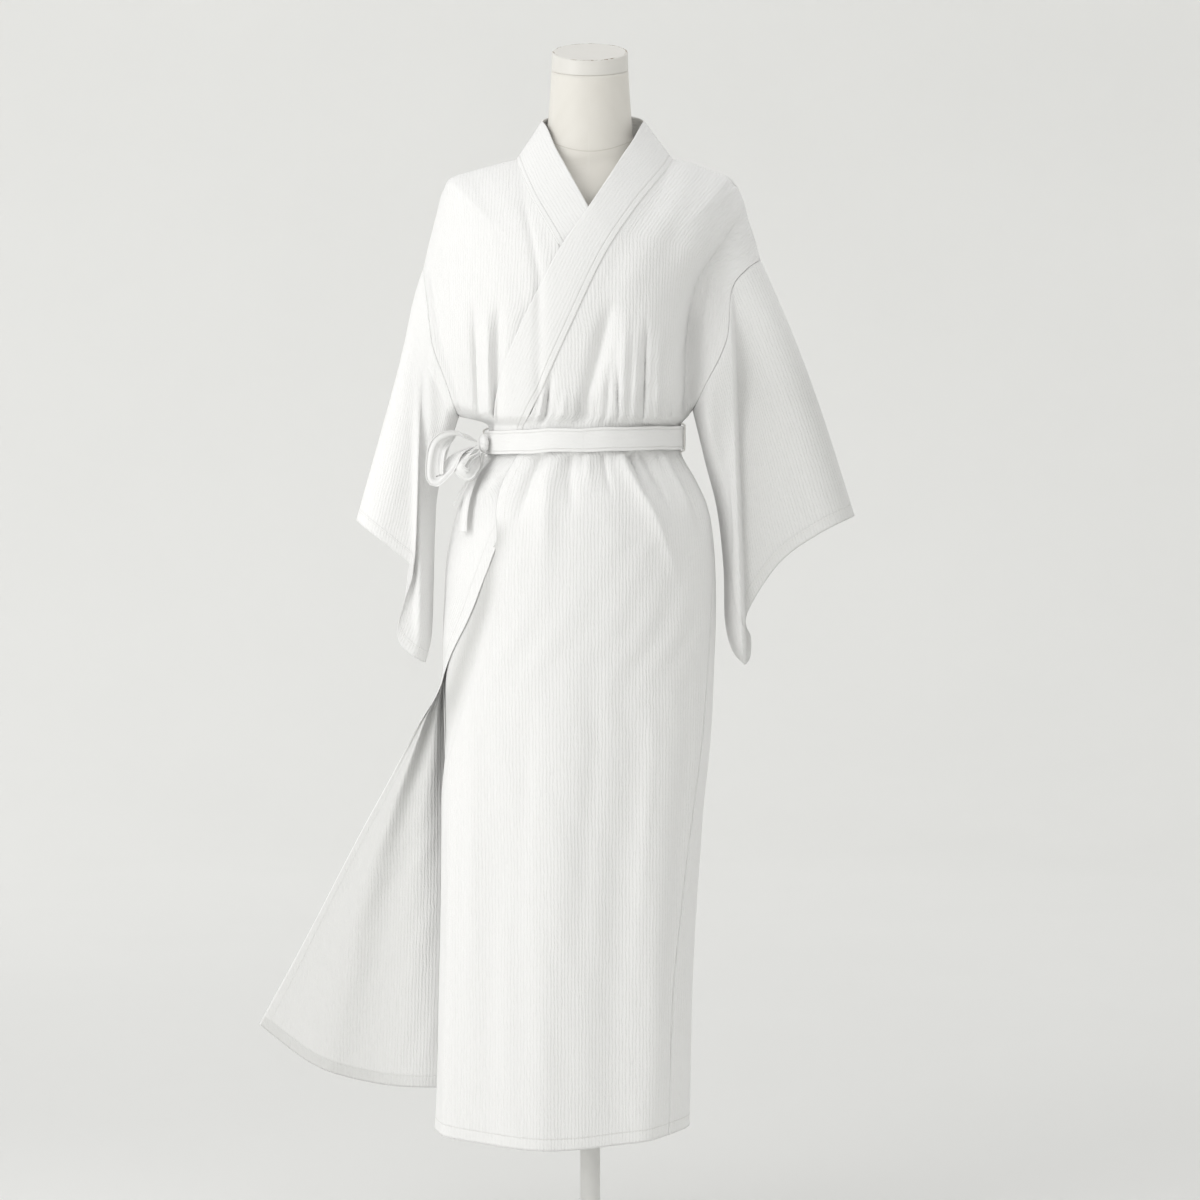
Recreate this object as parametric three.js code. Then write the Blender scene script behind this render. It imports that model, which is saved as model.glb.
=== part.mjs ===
// A white cotton kimono robe, tied with a narrow belt, on a limbless dress form on a stand.
// Millimetres, +Z up. The front of the robe faces -Y and the wearer's left is +X.
// The origin is on the floor, in the middle of the stand's foot.

import * as THREE from 'three';

const { clamp, lerp: mix, degToRad: radians } = THREE.MathUtils;
const smooth = (from, to, value) => THREE.MathUtils.smoothstep(value, from, to);

// Cloth: the wall of every panel, the clear gap at a seam, and how far in the under front lies.
const CLOTH = 2;
const SEAM_GAP = 0.7;
const UNDER_LAYER = 4.5;
const COLLAR_WALL = 2.4;

// Heights: the middle of the waist, and the lowest part of the hem above the floor.
const WAIST = 1134;
const HEM = 196;

// Belt: a doubled band, its distance from the waist, and how much it climbs to the wearer's left.
const BELT_HEIGHT = 31;
const BELT_WALL = 3;
const BELT_LIFT = 6.2;
const BELT_LEVEL = 1132.5;
const BELT_CLIMB = 3.5;

// The knot and its ends sit at this angle, in front of the wearer's right side.
const KNOT_ANGLE = -69;
const KNOT_LIFT = 16;
const KNOT_SIZE = [11, 8, 13];
const BAND_WALL = 1.6;

// Sleeve: half of its thickness where it hangs, and how far its inner edge swings back.
const SLEEVE_HALF = 38;
const SLEEVE_SWING = 30;
const SLEEVE_EDGE = 42;

// Dress form and stand.
const CAP_HEIGHT = 24;
const NECK_TOP = 1624;
const NECK_TILT = Math.tan(radians(15));
const CAP_TILT = Math.tan(radians(19));
const POLE_RADIUS = 13.5;
const POLE_TOP = 831;
const FOOT_RADIUS = 165;
const FOOT_HEIGHT = 14;
const SOCKET_RADIUS = 24;
const SOCKET_HEIGHT = 60;
const CLEAR = 0.3;

// A table has named columns and a row for each section, from the top down. A value between two
// rows lies on a smooth curve through the rows.
function readTable(columns, rows) {
  const heights = rows.map((row) => row[0]);
  const last = rows.length - 1;
  const slope = (index, column) => {
    const [before, after] = [Math.max(index - 1, 0), Math.min(index + 1, last)];
    return (rows[after][column] - rows[before][column]) / (heights[after] - heights[before]);
  };
  return (height) => {
    const z = clamp(height, heights[last], heights[0]);
    let index = 0;
    while (index < last - 1 && z < heights[index + 1]) index += 1;
    const step = heights[index + 1] - heights[index];
    const t = (z - heights[index]) / step;
    const result = {};
    columns.forEach((name, column) => {
      result[name] = rows[index][column] * (2 * t ** 3 - 3 * t ** 2 + 1)
        + rows[index + 1][column] * (3 * t ** 2 - 2 * t ** 3)
        + slope(index, column) * step * (t ** 3 - 2 * t ** 2 + t)
        + slope(index + 1, column) * step * (t ** 3 - t ** 2);
    });
    return result;
  };
}

// A flat path through points (x, z), kept as short straight steps. Paths can be joined end to end.
class Path {
  constructor(points) {
    this.points = points;
  }

  static through(places, steps = 40) {
    const curve = new THREE.SplineCurve(places.map(([x, z]) => new THREE.Vector2(x, z)));
    return new Path(curve.getSpacedPoints(steps));
  }

  join(...others) {
    return new Path(others.reduce((all, path) => all.concat(path.points.slice(1)), this.points));
  }

  reverse() {
    return new Path([...this.points].reverse());
  }

  at(part) {
    const place = clamp(part, 0, 1) * (this.points.length - 1);
    const index = Math.min(Math.floor(place), this.points.length - 2);
    return this.points[index].clone().lerp(this.points[index + 1], place - index);
  }

  distance(x, z) {
    let best = Infinity;
    for (let index = 1; index < this.points.length; index += 1) {
      const [start, end] = [this.points[index - 1], this.points[index]];
      const [dx, dz] = [end.x - start.x, end.y - start.y];
      const part = clamp(((x - start.x) * dx + (z - start.y) * dz) / (dx * dx + dz * dz), 0, 1);
      best = Math.min(best, Math.hypot(x - start.x - dx * part, z - start.y - dz * part));
    }
    return best;
  }
}

// The robe from the underarm down: where its sides lie, and how deep it is.
const ringAt = readTable(['z', 'left', 'right', 'front', 'back'], [
  [1176, -180, 138, 114, 106],
  [1165, -175, 130, 111, 104],
  [1157, -150, 123, 107, 102],
  [1152, -137, 121, 105, 101],
  [1147, -135, 121, 105, 101],
  [WAIST, -134, 120, 104, 100],
  [1117, -135, 121, 104, 101],
  [1108, -139, 124, 106, 103],
  [1079, -160, 141, 114, 116],
  [1047, -175, 156, 119, 126],
  [1016, -184, 163, 121, 132],
  [972, -193, 167, 121, 136],
  [919, -197, 168, 120, 136],
  [865, -200, 167, 117, 134],
  [732, -200, 161, 110, 126],
  [625, -199, 151, 104, 118],
  [519, -200, 143, 100, 112],
  [385, -203, 137, 98, 108],
  [240, -207, 134, 97, 106],
  [180, -211, 132, 97, 106],
]);

// Angles round the robe, 0 in front and 90 at the wearer's left: the free edges of the upper and
// the under front, the trough where the upper front tucks in beside that edge, and the side seams.
const ANGLE_COLUMNS = ['z', 'upper', 'under', 'trough', 'leftSeam', 'rightSeam'];
const anglesAt = readTable(ANGLE_COLUMNS, [
  [1180, -39, 5, -41, 90, -90],
  [WAIST, -39, 5, -41, 90, -90],
  [1117, -43, 0, -41, 90, -90],
  [1080, -44, -15, -41, 86, -92],
  [1047, -43, -28, -41, 82, -94],
  [1016, -40, -37, -41, 79, -95],
  [990, -38.5, -40, -40.5, 78, -96],
  [957, -42, -44, -40, 76, -97],
  [885, -54.5, -57, -44, 73, -99],
  [809, -80, -83, -53, 71, -101],
  [745, -84, -95, -66, 69, -103],
  [680, -86, -100, -78, 67, -104],
  [620, -89, -104, -86, 65, -105],
  [500, -91, -105, -90, 61, -105],
  [385, -91, -105, -91, 57, -105],
  [180, -91, -105, -91, 56, -105],
]);

// Folds of the skirt: heights and angles of both ends, half width in degrees, and height of the
// ridge, or depth of the trough when negative.
const FOLD_COLUMNS = ['top', 'bottom', 'topPlace', 'bottomPlace', 'half', 'rise'];
const BELT_LOW = 1112;
const named = (columns) => (row) => {
  const pairs = columns.map((name, index) => [name, row[index]]);
  return Object.fromEntries(pairs);
};
const SKIRT_FOLDS = [
  [BELT_LOW, 1010, -27, -30, 6, -9],
  [BELT_LOW, 940, -18, -14, 7, 7],
  [BELT_LOW, 1020, -8, -4, 6, -5],
  [BELT_LOW, 930, 22, 47, 8, 9],
  [BELT_LOW, 1040, 29, 33, 5, -8],
  [BELT_LOW, 1030, 37, 45, 6, -7],
  [BELT_LOW, 980, 62, 66, 8, 6],
  [1000, 100, -4, -10, 14, 5],
  [980, 100, 24, 22, 13, -5],
  [900, 100, 44, 42, 12, 5],
  [860, 100, -34, -38, 13, -5],
  [800, 100, -62, -64, 12, 5],
  [BELT_LOW, 900, 118, 112, 9, 8],
  [BELT_LOW, 860, 138, 134, 9, -8],
  [BELT_LOW, 760, 157, 154, 9, 9],
  [BELT_LOW, 820, 177, 172, 9, -8],
  [BELT_LOW, 800, 199, 200, 9, 8],
  [BELT_LOW, 880, 221, 224, 9, -7],
  [900, 100, 128, 124, 15, 9],
  [880, 100, 162, 160, 15, -9],
  [860, 100, 196, 198, 15, 9],
  [860, 100, 228, 230, 14, -7],
].map(named(FOLD_COLUMNS));

// Folds of the bodice and sleeves, by their heights and their places along X, in front and behind.
const FRONT_FOLDS = [
  [1215, 1100, -52, -60, 8, -10],
  [1320, 1205, 30, 0, 15, -11],
  [1310, 1100, 48, 40, 10, 6],
  [1310, 1100, 74, 67, 10, -7],
  [1320, 1190, -119, -119, 9, -8],
  [1320, 1100, -135, -134, 8, 5],
  [1320, 1100, -153, -150, 9, -8],
  [1340, 1165, 132, 129, 19, -11],
].map(named(FOLD_COLUMNS));
const BACK_FOLDS = [
  [1330, 1100, -70, -64, 14, -8],
  [1340, 1100, -20, -18, 14, 8],
  [1330, 1100, 34, 30, 14, -8],
  [1320, 1100, 84, 78, 13, 7],
  [1400, 860, 190, 206, 15, -10],
  [1400, 860, -196, -232, 15, -10],
].map(named(FOLD_COLUMNS));

// The inner strip of a sleeve hangs in front of the rest of it, past a soft step.
const STEP_COLUMNS = ['top', 'bottom', 'topPlace', 'bottomPlace', 'half', 'rise', 'side'];
const SLEEVE_STEPS = [
  [1370, 905, 186, 205, 9, 17, 1],
  [1330, 980, -210, -232, 14, 12, -1],
].map(named(STEP_COLUMNS));

const bell = (offset) => Math.exp(-2 * offset * offset);

// A fold opens at once below the belt and slowly elsewhere. One whose foot is above the hem fades.
const TIED_OPENING = 0.15;
const FREE_OPENING = 0.5;
const FADE_FROM = 0.35;

function skirtFold(angle, z) {
  return SKIRT_FOLDS.reduce((sum, fold) => {
    const part = (fold.top - z) / (fold.top - fold.bottom);
    const centre = mix(fold.topPlace, fold.bottomPlace, part);
    const turn = THREE.MathUtils.euclideanModulo(angle - centre + 180, 360) - 180;
    const opened = smooth(0, fold.top === BELT_LOW ? TIED_OPENING : FREE_OPENING, part);
    const kept = fold.bottom > HEM ? 1 - smooth(FADE_FROM, 1, part) : 1;
    return sum + fold.rise * bell(turn / fold.half) * opened * kept;
  }, 0);
}

// A bodice fold ends just above the belt. A sleeve fold has its foot below this level.
const BODICE_FOLD_END = [1150, 1185];
const SLEEVE_FOLD_FOOT = 1000;

function bodiceFold(folds, x, z) {
  const above = smooth(...BODICE_FOLD_END, z);
  return folds.reduce((sum, fold) => {
    const part = (fold.top - z) / (fold.top - fold.bottom);
    const centre = mix(fold.topPlace, fold.bottomPlace, clamp(part, 0, 1));
    const fade = smooth(0, 0.45, part) * (1 - smooth(0.85, 1, part));
    const settled = fold.bottom < SLEEVE_FOLD_FOOT ? 1 : above;
    return sum + fold.rise * bell((x - centre) / fold.half) * fade * settled;
  }, 0);
}

const SLEEVE_FROM = [125, 165];

function sleeveStep(x, z) {
  return SLEEVE_STEPS.reduce((sum, step) => {
    const part = (step.top - z) / (step.top - step.bottom);
    const line = mix(step.topPlace, step.bottomPlace, clamp(part, 0, 1.3));
    const inside = smooth(-step.half, step.half, (line - x) * step.side);
    const outward = smooth(...SLEEVE_FROM, x * step.side);
    return sum + step.rise * inside * outward * smooth(0, 0.35, part);
  }, 0);
}

// A point of the robe below the bodice, at an angle and a height, moved out by lift. Front and back
// depths meet over the sides.
const SIDE_BLEND = 0.3;

function ringPoint(angle, z, lift = 0) {
  const ring = ringAt(z);
  const [sine, cosine] = [Math.sin(radians(angle)), Math.cos(radians(angle))];
  const deep = mix(ring.back, ring.front, smooth(-SIDE_BLEND, SIDE_BLEND, cosine));
  const out = lift + skirtFold(angle, z);
  const x = (ring.left + ring.right) / 2 + ((ring.right - ring.left) / 2 + out) * sine;
  return new THREE.Vector3(x, -(deep + out) * cosine, z);
}

// The bodice: depth of chest and back, and the half widths over which they round away.
const chestAt = readTable(['z', 'front', 'back', 'leftSpan', 'rightSpan', 'rightPower'], [
  [1510, 92, 92, 245, 235, 2],
  [1450, 106, 104, 245, 215, 2],
  [1400, 118, 112, 242, 185, 2.4],
  [1340, 124, 116, 236, 146, 3.4],
  [1260, 122, 116, 220, 132, 4],
  [1200, 116, 112, 195, 130, 4],
  [1130, 106, 102, 160, 128, 3],
]);
const CHEST_CENTRE = -6;
const SIDES = ['left', 'right'];

// Outlines of the two sides, seen from the front, from the neck and the underarm outwards.
const shoulder = {
  left: Path.through([[109, 1505], [131, 1501], [157, 1492], [183, 1482], [193, 1471], [200, 1460],
    [227, 1372]]),
  right: Path.through([[-97, 1505], [-149, 1492], [-185, 1480], [-194, 1465], [-200, 1449],
    [-221, 1363]]),
};
const sleeveTop = {
  left: Path.through([[227, 1372], [269, 1276], [309, 1169], [353, 1032]]),
  right: Path.through([[-221, 1363], [-235, 1319], [-257, 1222], [-312, 1026]]),
};
const armhole = {
  left: Path.through([[137, 1174], [151, 1203], [180, 1264], [187, 1330], [207, 1358], [227, 1372]]),
  right: Path.through([[-175, 1165], [-190, 1210], [-207, 1257], [-214, 1310], [-221, 1363]]),
};
const side = {
  left: Path.through([[120, WAIST], [122, 1150], [137, 1174]], 8),
  right: Path.through([[-134, WAIST], [-138, 1150], [-175, 1165]], 8),
};
const sleeveBottom = {
  left: Path.through([[137, 1174], [153, 1110], [171, 1040], [180, 960], [182, 890], [192, 850],
    [208, 831]]),
  right: Path.through([[-175, 1165], [-203, 1073], [-209, 1010], [-211, 940], [-214, 870],
    [-222, 834]]),
};
const cuff = {
  left: Path.through([[208, 831], [214, 843], [215, 869], [209, 900], [251, 968], [304, 1008],
    [353, 1032]]),
  right: Path.through([[-222, 834], [-250, 856], [-257, 879], [-247, 918], [-236, 960], [-258, 984],
    [-312, 1026]]),
};

// The collar seams, which are the inner edges of the fronts above the belt, and the collar's free
// edges. The under collar goes on behind the upper front.
const collarSeam = {
  left: Path.through([[-87, WAIST], [-86, 1150], [-78, 1165], [-65, 1194], [-45, 1239], [-20, 1293],
    [7, 1351], [29, 1391], [64, 1442], [97, 1484], [109, 1505]]),
  right: Path.through([[4, WAIST], [4, 1150], [2, 1168], [0, 1205], [-6, 1269], [-19, 1334],
    [-39, 1385], [-71, 1442], [-86, 1475], [-97, 1505]]),
};
const collarEdge = {
  left: Path.through([[-127, WAIST], [-124, 1184], [-113, 1228], [-95, 1272], [-70, 1323], [-39, 1381],
    [-2, 1435], [26, 1478], [45, 1509], [56, 1526], [71, 1556]]),
  right: Path.through([[66, WAIST], [61, 1205], [55, 1270], [42, 1335], [21, 1390], [-2, 1436],
    [-16, 1462], [-32, 1492], [-46, 1519], [-56, 1544], [-63, 1556]]),
};
const neckAt = readTable(['z', 'depth'], [
  [1556, 0],
  [1545, 26],
  [1526, 50],
  [1509, 66],
  [1478, 88],
  [1435, 102],
]);
const backNeck = Path.through([[109, 1505], [62, 1500], [6, 1498], [-52, 1500], [-97, 1505]]);
const NECK = { x: 4, half: 67, z: 1556 };
const COLLAR_PROUD = 1.7;
const COLLAR_RISE = 18;
const COLLAR_BACK = 76;

const quarterRound = (part) => Math.sqrt(Math.max(0, 1 - (1 - clamp(part, 0, 1)) ** 2));

// The chest is a dome across its width, fuller towards the wearer's left in front. Shoulders round
// over by this share of the depth.
const DOME = { inner: 2, outer: 1.1 };
const FULL_DOME_OUTER = 0.6;
const SHOULDER_ROUND = 1.2;

// How far the cloth stands from the middle plane at (x, z), in front (1) or behind (-1).
function depthAt(facing, x, z) {
  const chest = chestAt(z);
  const offset = x - CHEST_CENTRE;
  const plain = facing < 0 || offset < 0;
  const across = Math.min(Math.abs(offset) / (plain ? chest.leftSpan : chest.rightSpan), 1);
  const inner = plain ? DOME.inner : chest.rightPower;
  const dome = (1 - across ** inner) ** (plain ? DOME.outer : FULL_DOME_OUTER);
  const full = mix(SLEEVE_HALF, facing > 0 ? chest.front : chest.back, dome);
  const here = SIDES[x > 0 ? 0 : 1];
  const tops = [shoulder.left, shoulder.right, sleeveTop[here]];
  const fromTop = Math.min(...tops.map((path) => path.distance(x, z)));
  const fromLow = Math.min(side[here].distance(x, z), sleeveBottom[here].distance(x, z));
  const folds = bodiceFold(facing > 0 ? FRONT_FOLDS : BACK_FOLDS, x, z);
  const step = facing > 0 ? sleeveStep(x, z) : 0;
  const top = quarterRound(fromTop / (SHOULDER_ROUND * full));
  return (full + folds + step) * top * quarterRound(fromLow / SLEEVE_EDGE);
}

// A flat patch between four paths: low and high run across, near and far run up.
function patch({ low, high, near, far }, u, v) {
  const point = new THREE.Vector2();
  point.addScaledVector(near.at(v), 1 - u).addScaledVector(far.at(v), u);
  point.addScaledVector(low.at(u), 1 - v).addScaledVector(high.at(u), v);
  point.addScaledVector(low.at(0), -(1 - u) * (1 - v)).addScaledVector(low.at(1), -u * (1 - v));
  return point.addScaledVector(high.at(0), -(1 - u) * v).addScaledVector(high.at(1), -u * v);
}

// Points and triangles as a geometry whose faces point out.
function solid(points, triangles) {
  let volume = 0;
  for (let index = 0; index < triangles.length; index += 3) {
    const [a, b, c] = [0, 1, 2].map((corner) => points[triangles[index + corner]]);
    volume += a.dot(b.clone().cross(c));
  }
  if (volume < 0) triangles.reverse();
  const geometry = new THREE.BufferGeometry();
  const values = points.flatMap((place) => [place.x, place.y, place.z]);
  geometry.setAttribute('position', new THREE.Float32BufferAttribute(values, 3));
  geometry.setIndex(triangles);
  geometry.computeVertexNormals();
  return geometry;
}

// Equal places from 0 to 1.
const equal = (count) => Array.from({ length: count + 1 }, (_, index) => index / count);

// A closed wall about the surface that point(u, v) gives, trimmed back a little at its edges to
// leave half of the seam's gap. With round, the wall closes on itself along u.
const NUDGE = 0.004;

function wall(point, columnPlaces, rowPlaces, { thick = CLOTH, round = false } = {}) {
  const columns = columnPlaces.length - 1;
  const rows = rowPlaces.length - 1;
  const across = round ? columns : columns + 1;
  const middle = [];
  const normals = [];
  for (let row = 0; row <= rows; row += 1) {
    for (let column = 0; column < across; column += 1) {
      const [u, v] = [columnPlaces[column], rowPlaces[row]];
      const lowU = round ? u - NUDGE : Math.max(u - NUDGE, 0);
      const highU = round ? u + NUDGE : Math.min(u + NUDGE, 1);
      const alongU = point(highU, v).sub(point(lowU, v));
      const alongV = point(u, Math.min(v + NUDGE, 1)).sub(point(u, Math.max(v - NUDGE, 0)));
      middle.push(point(u, v));
      normals.push(alongU.cross(alongV).normalize());
    }
  }
  const spot = (row, column) => row * across + column;
  const trim = (from, towards) => {
    const step = middle[towards].clone().sub(middle[from]).setLength(SEAM_GAP / 2);
    middle[from].add(step);
  };
  for (let column = 0; column < across; column += 1) {
    trim(spot(0, column), spot(1, column));
    trim(spot(rows, column), spot(rows - 1, column));
  }
  for (let row = 0; !round && row <= rows; row += 1) {
    trim(spot(row, 0), spot(row, 1));
    trim(spot(row, columns), spot(row, columns - 1));
  }
  const shifted = (amount) => middle.map((place, index) => (
    place.clone().addScaledVector(normals[index], amount)));
  const triangles = [];
  const under = middle.length;
  const quad = (a, b, c, d) => triangles.push(a, b, c, a, c, d);
  for (let row = 0; row < rows; row += 1) {
    for (let column = 0; column < columns; column += 1) {
      const next = (column + 1) % across;
      const [a, b] = [spot(row, column), spot(row, next)];
      const [d, c] = [spot(row + 1, column), spot(row + 1, next)];
      quad(a, b, c, d);
      quad(under + d, under + c, under + b, under + a);
      if (row === 0) quad(a, under + a, under + b, b);
      if (row === rows - 1) quad(c, under + c, under + d, d);
      if (!round && column === 0) quad(d, under + d, under + a, a);
      if (!round && column === columns - 1) quad(b, under + b, under + c, c);
    }
  }
  return solid([...shifted(thick / 2), ...shifted(-thick / 2)], triangles);
}

// A closed solid through rings of points, with flat ends.
function loft(rings) {
  const sides = rings[0].length;
  const triangles = [];
  for (let row = 0; row < rings.length - 1; row += 1) {
    for (let corner = 0; corner < sides; corner += 1) {
      const [a, b] = [row * sides + corner, row * sides + ((corner + 1) % sides)];
      triangles.push(a, b, b + sides, a, b + sides, a + sides);
    }
  }
  const last = (rings.length - 1) * sides;
  for (let corner = 1; corner < sides - 1; corner += 1) {
    triangles.push(0, corner + 1, corner);
    triangles.push(last, last + corner, last + corner + 1);
  }
  return solid(rings.flat(), triangles);
}

const kimono = new THREE.Group();
const finish = {
  cloth: { color: 0xf4f3f0, roughness: 0.9, metalness: 0 },
  cover: { color: 0xe9e4da, roughness: 0.5, metalness: 0 },
  steel: { color: 0xd9d8d5, roughness: 0.4, metalness: 0.1 },
};

function add(name, geometry, look = finish.cloth) {
  const mesh = new THREE.Mesh(geometry, new THREE.MeshStandardMaterial(look));
  mesh.name = name;
  kimono.add(mesh);
}

// The hem rises a little to the sides, and more where the under front lifts it as it flies out.
const SIDE_RISE = 11;
const LEFT_RISE = 6;
const FLY_RISE = 50;
const FLY_SEAM = -105;
const FLY_REACH = [12, 50];

function hemHeight(angle) {
  const sine = Math.sin(radians(angle));
  const turned = (angle > 180 ? angle - 360 : angle) - FLY_SEAM;
  const lifted = turned < FLY_REACH[0] ? 1 - smooth(...FLY_REACH, Math.abs(turned)) : 0;
  return HEM + SIDE_RISE * sine * sine + LEFT_RISE * Math.max(0, sine) + FLY_RISE * lifted;
}

// A body panel runs from its hem at v = 0, past the waist, to the shoulder at v = 1.
const WAIST_PART = 0.58;
const TOP_CLOSING = 1.5;
const TIED_TOP = 1150;
const FREE_FROM = 1165;
const SKIRT_CLOSING = 1.35;
const SKIRT_ROWS = 16;
const BODICE_ROWS = [0.03, 0.06, 0.1, 0.1667, 0.22, 0.3, 0.4, 0.5, 0.6, 0.7, 0.79, 0.87, 0.93, 0.97,
  0.99, 1];
const panelRows = [
  ...equal(SKIRT_ROWS).map((part) => WAIST_PART * (1 - (1 - part) ** SKIRT_CLOSING)),
  ...BODICE_ROWS.map((part) => WAIST_PART + (1 - WAIST_PART) * (1 - (1 - part) ** (1 / TOP_CLOSING))),
];

// The part of a joined side and armhole path that is its armhole, and the places round a sleeve
// that meet the rows of the body there.
const SIDE_SHARE = 8 / 48;
const seamTurns = BODICE_ROWS.map((part) => (part - SIDE_SHARE) / (1 - SIDE_SHARE))
  .filter((height) => height > 0.001)
  .map((height) => Math.acos(2 * height - 1) / (2 * Math.PI))
  .reverse();
const sleeveTurns = [...seamTurns, 0.5, ...seamTurns.map((turn) => 1 - turn).reverse()];
const FULL_DROP_DEPTH = 40;
const underDrop = (depth) => UNDER_LAYER * Math.min(1, depth / FULL_DROP_DEPTH);

function bodicePoint({ facing, edges, start, end, drop, hidden = () => 0 }, u, v) {
  const flat = patch(edges, u, 1 - (1 - v) ** TOP_CLOSING);
  const depth = depthAt(facing, flat.x, flat.y);
  const inner = depth - drop(u) * underDrop(depth) - hidden(flat.x, flat.y);
  const free = new THREE.Vector3(flat.x, -facing * inner, flat.y);
  const turn = mix(start(WAIST), end(WAIST), u);
  const tied = ringPoint(turn, Math.min(flat.y, TIED_TOP), -drop(u) * UNDER_LAYER).setZ(flat.y);
  return tied.lerp(free, smooth(TIED_TOP, FREE_FROM, flat.y));
}

function skirtPoint({ start, end, drop }, u, v) {
  const hem = hemHeight(mix(start(HEM), end(HEM), u));
  const z = mix(hem, WAIST, v);
  return ringPoint(mix(start(z), end(z), u), z, -drop(u) * UNDER_LAYER);
}

function panelPoint(panel) {
  return (u, v) => (v < WAIST_PART
    ? (panel.skirt ?? skirtPoint)(panel, u, v / WAIST_PART)
    : bodicePoint(panel, u, (v - WAIST_PART) / (1 - WAIST_PART)));
}

const WAIST_STEPS = 12;

function waistPath(start, end) {
  const { left, right } = ringAt(WAIST);
  const across = (turn) => (left + right) / 2 + ((right - left) / 2) * Math.sin(radians(turn));
  return Path.through(equal(WAIST_STEPS).map((part) => [across(mix(start, end, part)), WAIST]));
}

const angle = (name, turn = 0) => (z) => anglesAt(z)[name] + turn;

// Upper front: the wearer's left front, from the collar seam to the left side seam and armhole. Its
// free edge tucks in below the hip, beside the edge of the under front.
const TUCK = 9;
const TUCK_WIDTH = [-3, 9];
const TUCK_TOP = [955, 1000];
const TUCK_FOOT = [640, 740];

function upperSkirtPoint(panel, u, v) {
  const hem = hemHeight(mix(panel.start(HEM), panel.end(HEM), u));
  const z = mix(hem, WAIST, v);
  const turn = mix(panel.start(z), panel.end(z), u);
  const tucked = smooth(...TUCK_WIDTH, anglesAt(z).trough - turn)
    * (1 - smooth(...TUCK_TOP, z)) * smooth(...TUCK_FOOT, z);
  return ringPoint(turn, z, -TUCK * tucked);
}

const frontLeft = {
  facing: 1,
  skirt: upperSkirtPoint,
  start: angle('upper'),
  end: angle('leftSeam'),
  drop: () => 0,
  edges: {
    low: waistPath(-39, 90),
    high: shoulder.left,
    near: collarSeam.left,
    far: side.left.join(armhole.left),
  },
};
const EDGE_CLOSING = 1.25;
const frontColumns = equal(24).map((part) => part ** EDGE_CLOSING);
add('front_left', wall(panelPoint(frontLeft), frontColumns, panelRows));

// Under front: it lies inside the upper front, wraps the wearer's right hip, and below the hip its
// free edge swings out to the right and back, with the wrong side to the front.
const flyAt = readTable(['z', 'edgeX', 'edgeY', 'edgeZ', 'belly'], [
  [809, -203, -14, 809, 0],
  [745, -234, 10, 745, -6],
  [673, -272, 38, 673, -14],
  [589, -318, 72, 589, -20],
  [461, -385, 122, 461, -24],
  [HEM, -463, 176, 318, -26],
]);
const HIDDEN_DROP = 8;
const HIDDEN_EDGE = [0.3, 0.5];
const HIDDEN_TOP = [1100, 1125];
const HIDDEN_FOOT = [1016, 1060];
const SEAM_TURN = 1.6;
const FLY_FROM = [745, 860];
const FLY_WAVES = 2;
const FLY_WAVE_DEPTH = 6;
const FLY_SAG = 22;
const FLY_SAG_FROM = 600;

function underSkirtPoint(panel, u, v) {
  const level = mix(HEM, WAIST, v);
  const seamZ = mix(hemHeight(FLY_SEAM), WAIST, v);
  const hidden = (1 - smooth(...HIDDEN_EDGE, u)) * smooth(...HIDDEN_FOOT, level)
    * (1 - smooth(...HIDDEN_TOP, level));
  const inner = panel.drop(u) * UNDER_LAYER + HIDDEN_DROP * hidden;
  const wrapped = ringPoint(mix(panel.start(level), panel.end(seamZ), u), mix(level, seamZ, u), -inner);
  const fly = flyAt(level);
  const seam = ringPoint(panel.end(seamZ), seamZ);
  const flown = new THREE.Vector3(fly.edgeX, fly.edgeY, fly.edgeZ);
  const turnRoom = flown.clone().sub(seam).setLength(SEAM_TURN);
  flown.lerp(seam.add(turnRoom), u);
  const swing = Math.sin(Math.PI * u);
  const wave = FLY_WAVE_DEPTH * Math.sin(2 * Math.PI * FLY_WAVES * u) * swing;
  const sag = -FLY_SAG * swing * smooth(FLY_SAG_FROM, HEM, level);
  flown.add(new THREE.Vector3(0.5 * fly.belly * swing, fly.belly * swing + wave, sag));
  return wrapped.lerp(flown, 1 - smooth(...FLY_FROM, level));
}

// Where the upper collar lies over the under front, above the belt.
const LAP = { x: -60, half: 40, top: [1250, 1330] };
const frontRight = {
  facing: 1,
  start: angle('under'),
  end: angle('rightSeam'),
  drop: (u) => 1 - smooth(0.88, 1, u),
  hidden: (x, z) => HIDDEN_DROP * bell((x - LAP.x) / LAP.half) * (1 - smooth(...LAP.top, z)),
  skirt: underSkirtPoint,
  edges: {
    low: waistPath(5, -90),
    high: shoulder.right,
    near: collarSeam.right,
    far: side.right.join(armhole.right),
  },
};
add('front_right', wall(panelPoint(frontRight), equal(22), panelRows));

// Back: one panel from armhole to armhole, round behind the body.
const back = {
  facing: -1,
  start: angle('leftSeam'),
  end: angle('rightSeam', 360),
  drop: () => 0,
  edges: {
    low: waistPath(90, 270),
    high: shoulder.left.reverse().join(backNeck, shoulder.right),
    near: side.left.join(armhole.left),
    far: side.right.join(armhole.right),
  },
};
add('back', wall(panelPoint(back), equal(32), panelRows));

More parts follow.
